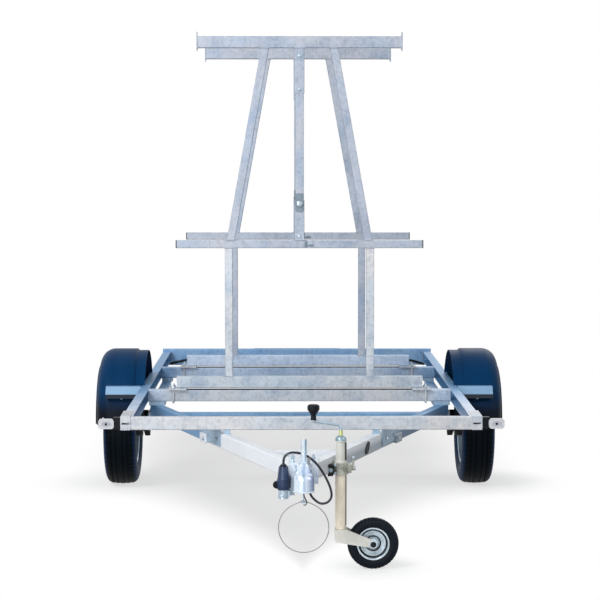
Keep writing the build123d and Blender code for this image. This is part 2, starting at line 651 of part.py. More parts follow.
wheel2_x = jock_x + 138.0
wheel2_r = 110.0
wheel2_half = 25.0
fork_gap = wheel2_half + 6
fork_t = 4.0
fork_top = tube_z0 - 8 - 0.5
fork_z0 = fork_top - 10
arm_half = 25.0
pin_r = 6.0
fork = block(jock_x - arm_half, jock_x + arm_half, jock_y - fork_gap - fork_t, jock_y + fork_gap + fork_t,
             fork_z0, fork_top)
fork += rod((jock_x, jock_y, fork_top - 2), (jock_x, jock_y, fork_top + 22), stem_r)
arm_points = [(jock_x - arm_half, fork_top), (jock_x + arm_half, fork_top), (wheel2_x + 4, wheel2_r + 17),
              (wheel2_x + 14, wheel2_r + 8), (wheel2_x + 14, wheel2_r - 8), (wheel2_x + 4, wheel2_r - 16),
              (jock_x - arm_half, fork_top - 54)]
for face in (-1, 1):
    ya = jock_y + face * fork_gap
    yb = jock_y + face * (fork_gap + fork_t)
    fork += outline_y(arm_points, min(ya, yb), max(ya, yb))
fork += rod((wheel2_x, jock_y - fork_gap - 10, wheel2_r), (wheel2_x, jock_y + fork_gap + 10, wheel2_r), pin_r)
save("jockey_fork", fork)


def spin_y(points):
    """Turn a (y, radius) outline about the jockey wheel's axle."""
    face = make_face(Polyline(*[(radius, y, 0) for y, radius in points], close=True))
    return Pos(wheel2_x, jock_y, wheel2_r) * revolve(face, axis=Axis.Y)


small_rim_r = 68.0
small = [(-20, small_rim_r), (-wheel2_half, 84), (-wheel2_half + 1, 98), (-wheel2_half * 0.72, wheel2_r - 3),
         (-wheel2_half * 0.35, wheel2_r)]
small += [(-y, radius) for y, radius in reversed(small)]
save("jockey_tyre", spin_y(small))
rim2 = [(-22, small_rim_r + 2), (-20, small_rim_r), (20, small_rim_r), (22, small_rim_r + 2),
        (23.5, small_rim_r),
        (21, small_rim_r - 5), (5, small_rim_r - 6), (4, 30), (20, 16), (20, pin_r + run_gap),
        (-20, pin_r + run_gap), (-20, 16), (-4, 30), (-5, small_rim_r - 6), (-21, small_rim_r - 5),
        (-23.5, small_rim_r)]
save("jockey_rim", spin_y(rim2))

# -------------------------------------------------------------------- lights
holder_out = frame_half + 33.0
lamp_x0 = frame_half + 29.0
lamp_x1 = frame_half + 101.0
lamp_z0 = frame_z + 6.0
lamp_z1 = deck_z - 8.0
lamp_y0 = front_y - 6
lamp_holder = block(frame_half, holder_out, front_y + 6, front_y + 34, frame_z + 2, deck_z - 2)
lamp_holder += block(frame_half, lamp_x1 - 8, front_y + 16, front_y + 28, lamp_z0 + 6, lamp_z1 - 6)
save("front_lamp_holders", *both(lamp_holder))
lamp = Plane(origin=((lamp_x0 + lamp_x1) / 2, lamp_y0, (lamp_z0 + lamp_z1) / 2), x_dir=(1, 0, 0),
             z_dir=(0, 1, 0))
lamp_solid = extrude(lamp * RectangleRounded(lamp_x1 - lamp_x0, lamp_z1 - lamp_z0, 14), amount=22)
lamp_solid -= lamp_holder
save("front_lamps", *both(lamp_solid))

tail_x1 = rail_in
tail_x0 = tail_x1 - 230.0
tail_h = 76.0
tail = Plane(origin=((tail_x0 + tail_x1) / 2, rear_y, rear_mid_z), x_dir=(1, 0, 0), z_dir=(0, 1, 0))
tail_lamp = extrude(tail * RectangleRounded(tail_x1 - tail_x0, tail_h, 10), amount=lamp_depth)
save("rear_lamps", *both(tail_lamp))
sign_w = 520.0
sign_h = rear_beam - 16.0
sign = Plane(origin=(0, rear_y, rear_mid_z), x_dir=(1, 0, 0), z_dir=(0, 1, 0))
save("plate_holder", extrude(sign * RectangleRounded(sign_w + 16, sign_h + 16, 6), amount=12))
print("front_y", front_y, "total_length", total_length)
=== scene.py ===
"""Boat trailer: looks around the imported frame, Z up and +Y to the rear.

Places are in metres.  Sizes and outlines of the small shapes, and names that end in _U, are in millimetres.
"""
import json
import random
from math import asin, atan, cos, pi, radians, sin

import bmesh
import bpy
from mathutils import Matrix, Vector


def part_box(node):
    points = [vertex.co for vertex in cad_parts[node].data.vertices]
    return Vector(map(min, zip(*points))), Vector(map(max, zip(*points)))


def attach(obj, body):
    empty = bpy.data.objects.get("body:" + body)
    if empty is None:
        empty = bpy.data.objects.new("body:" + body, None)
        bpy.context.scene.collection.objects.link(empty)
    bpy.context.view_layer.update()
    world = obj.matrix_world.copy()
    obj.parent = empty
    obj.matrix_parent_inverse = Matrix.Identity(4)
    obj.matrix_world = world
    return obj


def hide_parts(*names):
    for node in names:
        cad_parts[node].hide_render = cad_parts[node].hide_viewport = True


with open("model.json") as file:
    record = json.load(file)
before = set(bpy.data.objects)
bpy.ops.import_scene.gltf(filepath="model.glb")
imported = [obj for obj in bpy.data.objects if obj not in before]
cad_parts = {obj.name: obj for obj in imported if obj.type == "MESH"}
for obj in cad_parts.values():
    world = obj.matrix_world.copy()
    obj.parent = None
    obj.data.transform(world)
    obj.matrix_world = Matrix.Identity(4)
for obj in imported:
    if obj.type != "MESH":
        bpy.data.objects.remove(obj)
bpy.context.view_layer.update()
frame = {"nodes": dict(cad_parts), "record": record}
nodes = frame["nodes"]
scene = bpy.context.scene
random.seed(7)
MM = 0.001
X, Y, Z = (1, 0, 0), (0, 1, 0), (0, 0, 1)
LEFT, FORWARD, DOWN = (-1, 0, 0), (0, -1, 0), (0, 0, -1)
SIDES = ((-1, "left"), (1, "right"))
WHITE = (1, 1, 1, 1)
FRONT_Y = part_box("corner_brackets")[0].y  # front face of the front crossbar


def at_u(u):
    """Y of a point that many millimetres behind the front crossbar's face."""
    return FRONT_Y + u / 1000


WHEEL_X, WHEEL_Y, WHEEL_R = 0.949, at_u(1530), 0.302  # road wheel's middle and radius
JOCK_X, JOCK_Y = 0.16192, at_u(-640)  # jockey tube's axis
HUB_X, HUB_Z = 0.29992, 0.11  # jockey wheel's middle
NOSE_U, BALL_U = -872, -1040  # drawbar's front end and tow ball's centre, mm
RACK_U = (1050, 2100)  # front faces of the two rack frames, mm
DRAW_SLOPE, DRAW_FACE = 0.372, 0.362  # outer face of a drawbar tube: x = face + slope * u
STEPS = 1  # divides the finest meshes' counts

def add(name, data):
    """New object in the scene."""
    obj = bpy.data.objects.new(name, data)
    scene.collection.objects.link(obj)
    return obj


# ---- camera
EYE = (-0.0807, FRONT_Y - 8.5897, 1.7394)
PITCH, YAW = -0.0737, -0.0086
cam_data = bpy.data.cameras.new("camera")
cam_data.sensor_width = 36
cam_data.lens = 112.92
cam_data.clip_start, cam_data.clip_end = 0.1, 200
cam = add("camera", cam_data)
cam.location = EYE
cam.rotation_euler = (pi / 2 + PITCH, 0, YAW)
scene.camera = cam
scene.view_settings.view_transform = "Standard"


# ---- materials
def lin(r, g, b):
    """Linear colour from 0-255 screen values."""
    out = []
    for c in (r, g, b):
        c /= 255
        out.append(c / 12.92 if c <= 0.04045 else ((c + 0.055) / 1.055) ** 2.4)
    return (*out, 1)


def shade(col, k):
    return (col[0] * k, col[1] * k, col[2] * k, 1)


class Nodes:
    """Builds one node tree; a value is a number, a colour or another node's output."""

    def __init__(self, tree):
        self.tree = tree

    def feed(self, socket, value):
        if isinstance(value, bpy.types.NodeSocket):
            self.tree.links.new(value, socket)
        else:
            socket.default_value = value

    def node(self, kind, **inputs):
        n = self.tree.nodes.new("ShaderNode" + kind)
        for key, value in inputs.items():
            if hasattr(n, key) and key not in n.inputs:
                setattr(n, key, value)
            else:
                self.feed(n.inputs[key.replace("_", " ")], value)
        return n

    def in_order(self, n, values, out=0):
        """Fill a node's sockets by their places, given as (place, value) pairs."""
        for place, value in values:
            self.feed(n.inputs[place], value)
        return n.outputs[out]

    def calc(self, operation, a, b=0):
        return self.in_order(self.node("Math", operation=operation), ((0, a), (1, b)))

    def soft(self, value, a, b):
        """0 below a and 1 above b, smooth between."""
        n = self.node("MapRange", Value=value, interpolation_type="SMOOTHSTEP", From_Min=a, From_Max=b)
        return n.outputs[0]

    def shader(self, kind, colour, **inputs):
        return self.node(kind, Color=colour, **inputs).outputs[0]

    def blend(self, fac, a, b):
        return self.in_order(self.node("MixShader"), ((0, fac), (1, a), (2, b)))

    def seen(self):
        """1 for camera, glossy and transmission rays, which meet the background."""
        path = self.node("LightPath").outputs
        either = self.calc("MAXIMUM", path["Is Camera Ray"], path["Is Glossy Ray"])
        return self.calc("MAXIMUM", either, path["Is Transmission Ray"])


class Graph(Nodes):
    """A material's nodes: bsdf is its shader, coord and normal belong to the object."""

    def __init__(self, name):
        self.mat = bpy.data.materials.new(name)
        self.mat.use_nodes = True
        super().__init__(self.mat.node_tree)
        self.bsdf = self.tree.nodes["Principled BSDF"]
        places = self.node("TexCoord").outputs
        self.coord, self.normal = places["Object"], places["Normal"]

    def stretch(self, scale):
        return self.node("Mapping", Vector=self.coord, Scale=scale).outputs[0]

    def noise(self, scale, detail=3, rough=0.5, vector=None):
        n = self.node("TexNoise", Vector=vector or self.coord, Scale=scale, Detail=detail, Roughness=rough)
        return n.outputs["Fac"]

    def ramp(self, fac, stops):
        n = self.node("ValToRGB", Fac=fac)
        ramp = n.color_ramp
        while len(ramp.elements) < len(stops):
            ramp.elements.new(0.5)
        for e, (pos, col) in zip(ramp.elements, stops):
            e.position = pos
            e.color = col if len(col) == 4 else (*col, 1)
        return n.outputs["Color"]

    def cloudy(self, fac, low, high):
        """Two colours that follow a noise."""
        return self.ramp(fac, [(0.3, low), (0.7, high)])

    def mix(self, fac, a, b, mode="MIX"):
        n = self.node("Mix", data_type="RGBA", blend_type=mode)
        return self.in_order(n, ((0, fac), (6, a), (7, b)), 2)

    def tinted(self, colour, tint):
        return self.mix(1, colour, tint, "MULTIPLY")

    def range(self, value, lo, hi, a=0, b=1):
        return self.node("MapRange", Value=value, From_Min=a, From_Max=b, To_Min=lo, To_Max=hi).outputs[0]

    def rise(self, value, a, b):
        """0 at a, 1 at b."""
        return self.range(value, 0, 1, a, b)

    def fall(self, value, a, b):
        """1 at a, 0 at b."""
        return self.range(value, 1, 0, a, b)

    def axis(self, index, vector=None):
        return self.node("SeparateXYZ", Vector=vector or self.coord).outputs[index]

    def size(self, value):
        return self.calc("ABSOLUTE", value)

    def tones(self, fac, base, low, high):
        """Two shades of one colour that follow a noise."""
        return self.cloudy(fac, shade(base, low), shade(base, high))

    def set(self, **values):
        for key, value in values.items():
            self.feed(self.bsdf.inputs[key.replace("_", " ")], value)

    def finish(self, colour, rough, height, strength, distance, **values):
        """The material, with its colour, roughness and bump."""
        bump = self.node("Bump", Height=height, Strength=strength, Distance=distance).outputs[0]
        self.set(Base_Color=colour, Roughness=rough, Normal=bump, **values)
        return self.mat


def along_frame(g, near, far, span):
    """Two colours that change over a distance behind the front crossbar."""
    return g.mix(g.rise(g.axis(1), FRONT_Y + span[0], FRONT_Y + span[1]), near, far)


def galvanised(g, base, far=None, span=(0, 1), grimy_z=None, side=None, outer=None, ends=None):
    """Hot-dip zinc: spangle cells, cloudy patches and run streaks.

    grimy_z is the height of a top face that gets painted shade under a beam, side the painted tint of faces
    that look sideways (shade below 1, light above 1), outer the colour of the frame's outside faces, and ends
    that of a bar's last 10 cm. far paints blue reflection and shade further back.
    """
    metal = 0.25
    cells = g.node("TexVoronoi", Vector=g.coord, Scale=75, Randomness=1)
    flecks = g.node("SeparateColor", Color=cells.outputs["Color"]).outputs[0]
    cloud = g.noise(7, 4, 0.55)
    fine = g.noise(220, 2)
    streak = g.noise(9, 4, 0.6, g.stretch((9, 1, 0.8)))
    # far: painted blue reflection and shade that grow further back
    tint = along_frame(g, base, far, span) if far else base
    # side: painted shade on faces that look sideways, painted light where its tint is above 1
    if side:
        tint = g.mix(g.rise(g.size(g.axis(0, g.normal)), 0.6, 0.9), tint, g.tinted(tint, side))
    if ends:
        tint = g.mix(g.rise(g.size(g.axis(0)), 0.64, 0.74), tint, ends)
    if outer:
        tint = g.mix(g.rise(g.size(g.axis(0)), 0.8284, 0.8288), tint, outer)
    mottle = g.mix(0.6, flecks, streak)
    tone = g.ramp(mottle, [(0.25, (0.8, 0.82, 0.84)), (0.5, WHITE), (0.75, (1.08, 1.08, 1.07))])
    hue = g.ramp(g.noise(4.5, 2), [(0.36, (0.95, 0.99, 1.03)), (0.64, (1.04, 1, 0.98))])
    patches = g.ramp(cloud, [(0.3, (0.74, 0.8, 0.87)), (0.5, WHITE), (0.7, (1.09, 1.06, 1.04))])
    col = g.tinted(g.tinted(g.tinted(tint, tone), hue), patches)
    rough = g.range(g.mix(0.5, flecks, cloud), 0.34, 0.58)
    g.set(Metallic=metal)
    # painted shade: the top face under a beam goes near black and matt
    if grimy_z:
        high = g.rise(g.axis(2), grimy_z - 0.0012, grimy_z - 0.0006)
        mask = g.calc("MULTIPLY", high, g.fall(g.size(g.axis(0)), 0.574, 0.582))
        col = g.mix(mask, col, g.cloudy(cloud, (0.012, 0.02, 0.04), (0.02, 0.03, 0.055)))
        rough = g.mix(mask, rough, WHITE)
        g.set(Metallic=g.range(mask, metal, 0), Specular_IOR_Level=g.range(mask, 0.5, 0))
    return g.finish(col, rough, g.mix(0.3, cloud, fine), 0.12, 0.002)


def plated(g, base, rough, metal, dip=0.82, grain=160):
    """Zinc-plated or lacquered steel with faint cloudiness and fine grain."""
    fine = g.noise(grain, 3)
    return g.finish(g.tones(g.noise(22, 4), base, dip, 1.08), g.range(fine, rough - 0.08, rough + 0.12),
                    fine, 0.06, 0.0008, Metallic=metal)


def moulded(g, base, rough, grain=900, bump=0.15, spread=0.15, shine=0.22):
    """Plastic or rubber with fine grain and slight dust variation."""
    cloud = g.noise(9, 3)
    col = g.tones(cloud, base, 1 - spread, 1 + spread)
    return g.finish(col, g.range(cloud, rough - 0.06, rough + 0.08), g.noise(grain, 2), bump, 0.0004,
                    Specular_IOR_Level=shine)


def smooth_metal(g, base, far=None, span=(0, 1)):
    """Bright, nearly streak-free zinc on the drawbar tubes; painted shade darkens the right tube low down,
    and far paints them bluer in the shade further back.
    """
    cloud = g.noise(3, 3, 0.5)
    along = g.noise(2, 3, 0.6, g.stretch((26, 3, 26)))
    tint = along_frame(g, base, far, span) if far else base
    # painted shade on the right tube low down
    right_low_shade = g.calc("MULTIPLY", g.fall(g.axis(2), 0.446, 0.472), g.rise(g.axis(0), 0.1, 0.16))
    tint = g.mix(right_low_shade, tint, g.tinted(tint, (0.42, 0.47, 0.51, 1)))
    tone = g.ramp(g.mix(0.5, cloud, along), [(0.35, (0.93, 0.94, 0.95)), (0.62, (1.03, 1.03, 1.03))])
    return g.finish(g.tinted(tint, tone), g.range(cloud, 0.34, 0.5), g.noise(260, 2), 0.04, 0.0006,
                    Metallic=0.06)


def rubber_tyre(g, base):
    """Road tyre: near-black, dusty tread and satin side walls with a painted blue sheen."""
    cloud = g.noise(14, 4)
    dust = g.range(g.noise(60, 5, 0.7), 0, 0.2, 0.5, 0.85)
    col = g.mix(dust, g.tones(cloud, base, 0.8, 1.2), lin(20, 29, 40))
    # painted sheen: faces near the walls that look sideways turn blue
    from_middle = g.size(g.calc("SUBTRACT", g.size(g.axis(0)), WHEEL_X))
    sideways = g.rise(g.size(g.axis(0, g.normal)), 0.45, 0.8)
    wall = g.calc("MULTIPLY", g.rise(from_middle, 0.066, 0.07), sideways)
    col = g.mix(wall, col, g.cloudy(cloud, lin(9, 32, 58), lin(14, 44, 78)))
    return g.finish(col, g.range(cloud, 0.4, 0.55), g.noise(700, 2), 0.18, 0.0005, Specular_IOR_Level=0.05)


def ribbed_lens(g, base, pitch=260, coat=0.6, shine=0.5):
    """Clear coloured lens with moulded ribs."""
    ribs = g.node("TexWave", Scale=pitch, Distortion=0, Vector=g.coord).outputs["Fac"]
    cloud = g.noise(40, 2)
    col = g.ramp(g.mix(0.35, ribs, cloud), [(0.2, shade(base, 0.72)), (0.8, shade(base, 1.12))])
    return g.finish(col, g.range(cloud, 0.08, 0.2), ribs, 0.35, 0.001, Coat_Weight=coat, Coat_Roughness=0.05,
                    Specular_IOR_Level=shine)


def guard_skin(g, base):
    """Moulded mudguard: satin black plastic painted blue-black for its sky reflection, with faint painted
    highlight streaks; painted shade turns it near black low down.
    """
    cloud = g.noise(2.2, 3)
    # painted highlight streaks: lighter and darker blue bands
    sheen_streaks = g.noise(1.4, 4, 0.6, g.stretch((14, 1.5, 1.5)))
    col = g.tones(g.mix(0.5, cloud, sheen_streaks), base, 0.78, 1.2)
    # painted shade: near black low down
    col = g.mix(g.fall(g.axis(2), 0.43, 0.53), col, g.cloudy(cloud, lin(8, 12, 20), lin(16, 22, 34)))
    return g.finish(col, g.range(sheen_streaks, 0.36, 0.48), g.noise(1500, 2), 0.08, 0.0003, Specular_IOR_Level=0.05)


def cast_zinc(g, base, half, reflection_bands):
    """Bright plating in bluish patches; reflection_bands are painted reflections in bands across it, from
    -half to half either side of X = 0.

    The plates behind the coupling's head have no painted bands.
    """
    cloud = g.noise(26, 4, 0.6)
    streak = g.noise(30, 3, 0.6, g.stretch((1.6, 1.6, 0.5)))
    patchy = g.ramp(g.mix(0.5, streak, cloud),
                    [(0.36, (0.44, 0.53, 0.66)), (0.47, (0.88, 0.91, 0.95)), (0.6, WHITE)])
    # painted reflections: light and dark bands across the part
    across = g.ramp(g.rise(g.axis(0), -half, half), reflection_bands)
    across = g.mix(g.rise(g.axis(1), FRONT_Y - 0.985, FRONT_Y - 0.965), across, WHITE)
    return g.finish(g.tinted(g.tinted(base, patchy), across), g.range(cloud, 0.16, 0.34), g.noise(11, 2),
                    0.35, 0.006, Metallic=0.45)


def wheel_lacquer(g, base, dark):
    """Silver lacquer; painted shade makes the back of the hub near black."""
    cloud = g.noise(22, 4)
    fine = g.noise(160, 3)
    # painted shade on the back of the hub
    behind = g.fall(g.size(g.axis(0)), WHEEL_X - 0.012, WHEEL_X - 0.01)
    y = g.calc("SUBTRACT", g.axis(1), WHEEL_Y)
    z = g.calc("SUBTRACT", g.axis(2), WHEEL_R)
    from_axis = g.node("VectorMath", operation="LENGTH", Vector=g.node("CombineXYZ", Y=y, Z=z).outputs[0])
    hub = g.calc("MULTIPLY", behind, g.fall(from_axis.outputs["Value"], 0.06, 0.066))
    col = g.mix(hub, g.tones(cloud, base, 0.82, 1.08), g.tones(cloud, dark, 0.8, 1.2))
    return g.finish(col, g.range(fine, 0.26, 0.46), fine, 0.06, 0.0008, Metallic=g.range(hub, 0.5, 0))


def tube_zinc(g, base, high):
    """Pale yellow zinc on the jockey tube; greyer above the clamp."""
    cloud = g.noise(22, 4)
    fine = g.noise(160, 3)
    grain = g.noise(16, 3, 0.6, g.stretch((3, 3, 0.35)))
    tint = g.mix(g.rise(g.axis(2), 0.44, 0.462), base, high)
    tone = g.ramp(g.mix(0.5, cloud, grain), [(0.36, (0.86, 0.86, 0.85)), (0.6, WHITE)])
    return g.finish(g.tinted(tint, tone), g.range(fine, 0.37, 0.57), fine, 0.06, 0.0008, Metallic=0.05)


def stay_metal(g, base, low):
    """Blue-grey zinc, with painted shade on the folded lower edge."""
    cloud = g.noise(7, 4, 0.55)
    # painted shade below the fold
    above_fold = g.rise(g.axis(2), 0.5255, 0.5275)
    col = g.mix(above_fold, g.tones(cloud, low, 0.85, 1.15), g.tones(cloud, base, 0.92, 1.06))
    return g.finish(col, g.range(cloud, 0.36, 0.5), g.noise(220, 2), 0.05, 0.001, Metallic=0.2)


PALE = (0.95, 0.97, 1)
# painted reflection bands across the coupling's head and lever
HEAD_REFLECTION_BANDS = [(0.08, WHITE), (0.16, (0.22, 0.3, 0.44)), (0.22, PALE), (0.42, WHITE),
              (0.5, (0.52, 0.62, 0.74)), (0.58, PALE), (0.72, (0.5, 0.54, 0.7)), (0.81, (0.12, 0.18, 0.32)),
              (0.9, PALE)]
LEVER_REFLECTION_BANDS = [(0.22, (0.4, 0.52, 0.6)), (0.3, WHITE), (0.56, WHITE), (0.62, (0.34, 0.46, 0.56)),
               (0.72, (0.3, 0.42, 0.52)), (0.8, (0.16, 0.24, 0.32))]
M = {}


def look(name, make, base, *rest, **extra):
    """Make one material of the table, its base colour in screen values."""
    M[name] = make(Graph(name), lin(*base), *rest, **extra)


look("galvanised", galvanised, (184, 188, 193))
# painted shade: sideways faces of the rack frames and posts are darker
look("galv_rack", galvanised, (161, 169, 182), side=(0.66, 0.73, 0.8, 1))
look("galv_post", galvanised, (186, 191, 197), side=(0.46, 0.54, 0.62, 1))
look("galv_beam", galvanised, (172, 181, 190))
# grimy_z paints shade on the top face under the base beam
look("galv_member", galvanised, (171, 178, 186), grimy_z=0.565, ends=lin(164, 181, 200))
look("galv_mid", galvanised, (158, 174, 194), grimy_z=0.565, ends=lin(120, 154, 188))
look("galv_back", galvanised, (172, 188, 208))
# painted light on the rail's sideways faces, and painted blue reflection and shade further back
look("galv_rail", galvanised, (212, 219, 228), far=lin(98, 146, 188), span=(0.02, 1),
     outer=lin(176, 187, 200), side=(1.4, 1.3, 1.2, 1))
look("galv_axle", galvanised, (112, 156, 192))
look("galv_far", galvanised, (122, 160, 198))
look("galv_plate", galvanised, (146, 172, 192))
# the second colour is painted shade on the folded lower edge
look("stay_blue", stay_metal, (123, 158, 190), lin(12, 25, 42))
look("galv_bright", smooth_metal, (221, 225, 230))
# far: painted blue shade from under the crossbar backwards
look("galv_tube", smooth_metal, (221, 225, 230), far=lin(96, 140, 180), span=(0.1, 0.34))
look("cast_zinc", cast_zinc, (224, 232, 240), 0.065, HEAD_REFLECTION_BANDS)
look("lever_zinc", cast_zinc, (232, 240, 244), 0.02, LEVER_REFLECTION_BANDS)
look("zinc", plated, (164, 180, 194), 0.3, 0.6)
look("bright_zinc", plated, (206, 220, 230), 0.3, 0.5)
look("blue_zinc", plated, (150, 174, 186), 0.32, 0.5, 0.6)
look("dark_zinc", plated, (184, 188, 176), 0.26, 0.5, 0.42)
look("yellow_zinc", tube_zinc, (252, 241, 220), lin(206, 207, 200))
look("grey_zinc", plated, (112, 126, 138), 0.4, 0.3)
look("pale_zinc", plated, (222, 221, 213), 0.42, 0.1)
look("olive_zinc", plated, (176, 182, 120), 0.4, 0.3)
look("jockey_silver", plated, (196, 212, 222), 0.3, 0.4, 0.48)
look("wire", plated, (146, 145, 145), 0.45, 0)
look("weld", plated, (168, 178, 190), 0.5, 0.3, grain=420)
# the second colour is painted shade on the back of the hub
look("wheel_silver", wheel_lacquer, (158, 174, 186), lin(18, 22, 28))
# near-black strip of painted shade on the jockey tube
look("shade_strip", moulded, (36, 35, 36), 0.6, shine=0.05)
look("black_paint", moulded, (14, 17, 22), 0.35, 500)
look("arm_black", moulded, (6, 9, 14), 0.6, 500, 0.15, 0.2, 0.03)
look("tyre_rubber", rubber_tyre, (3, 10, 17))
look("black_rubber", moulded, (8, 16, 26), 0.5, 500, 0.2, shine=0.12)
# the navy stands in for the blue sky reflection on black plastic
look("guard_plastic", guard_skin, (4, 47, 83))
look("black_plastic", moulded, (14, 18, 24), 0.42, shine=0.12)
look("plug_plastic", moulded, (34, 49, 78), 0.32, 900, 0.15, 0.45, 0.35)
look("cable_sheath", moulded, (16, 21, 38), 0.2, 900, 0.06, 0.2, 0.4)
look("plate_blank", moulded, (226, 226, 220), 0.3, 900, 0.04, 0.04)
look("white_lens", ribbed_lens, (206, 207, 214), 420)
look("grey_lens", ribbed_lens, (178, 181, 192), 420)
look("red_lens", ribbed_lens, (176, 8, 14), coat=0.08, shine=0.15)
look("amber_lens", ribbed_lens, (226, 112, 8), coat=0.08, shine=0.15)

OWN_LOOKS = {
    "side_rail_left": "galv_rail", "side_rail_right": "galv_rail", "axle_beam": "galv_axle",
    "rear_crossbar": "galv_far", "rear_cross_member": "galv_mid", "rear_base_beam": "galv_back",
    "front_uprights": "galv_post", "front_base_beam": "galv_beam", "front_crossbar": "galvanised",
    "front_cross_member": "galv_member", "coupling_body": "cast_zinc", "drawbar_brackets": "galv_plate",
    "mudguard_stays": "stay_blue", "coupling_lever": "lever_zinc", "jockey_clamp": "dark_zinc",
    "jockey_rim": "jockey_silver", "suspension_arms": "arm_black", "jockey_fork": "pale_zinc",
    "drawbar_left": "galv_tube", "drawbar_right": "galv_tube", "drawbar_cross_tie": "galv_bright",
}
for row in frame["record"]["subparts"]:
    part, slot = row["node"], row["material_slot"]
    in_rack = slot == "galvanised" and part.startswith(("front_", "rear_"))
    painted = nodes[part].data.materials
    painted.clear()
    painted.append(M[OWN_LOOKS.get(part, "galv_rack" if in_rack else slot)])


# ---- shape tools: places in metres, sizes in millimetres
def arc(steps, first, last):
    """(cosine, sine) at even steps from one angle to another, in degrees, with both ends."""
    angles = [radians(first + (last - first) * k / steps) for k in range(steps + 1)]
    return [(cos(a), sin(a)) for a in angles]


def circle(count, first=0):
    return arc(count, first, first + 360)[:-1]


def rounded(w, h, r, n=6):
    """Outline of a rounded rectangle about the origin."""
    x, y = w / 2 - r, h / 2 - r
    corners = ((x, y, 0), (-x, y, 90), (-x, -y, 180), (x, -y, 270))
    return [(cx + r * c, cy + r * s) for cx, cy, first in corners for c, s in arc(n, first, first + 90)]


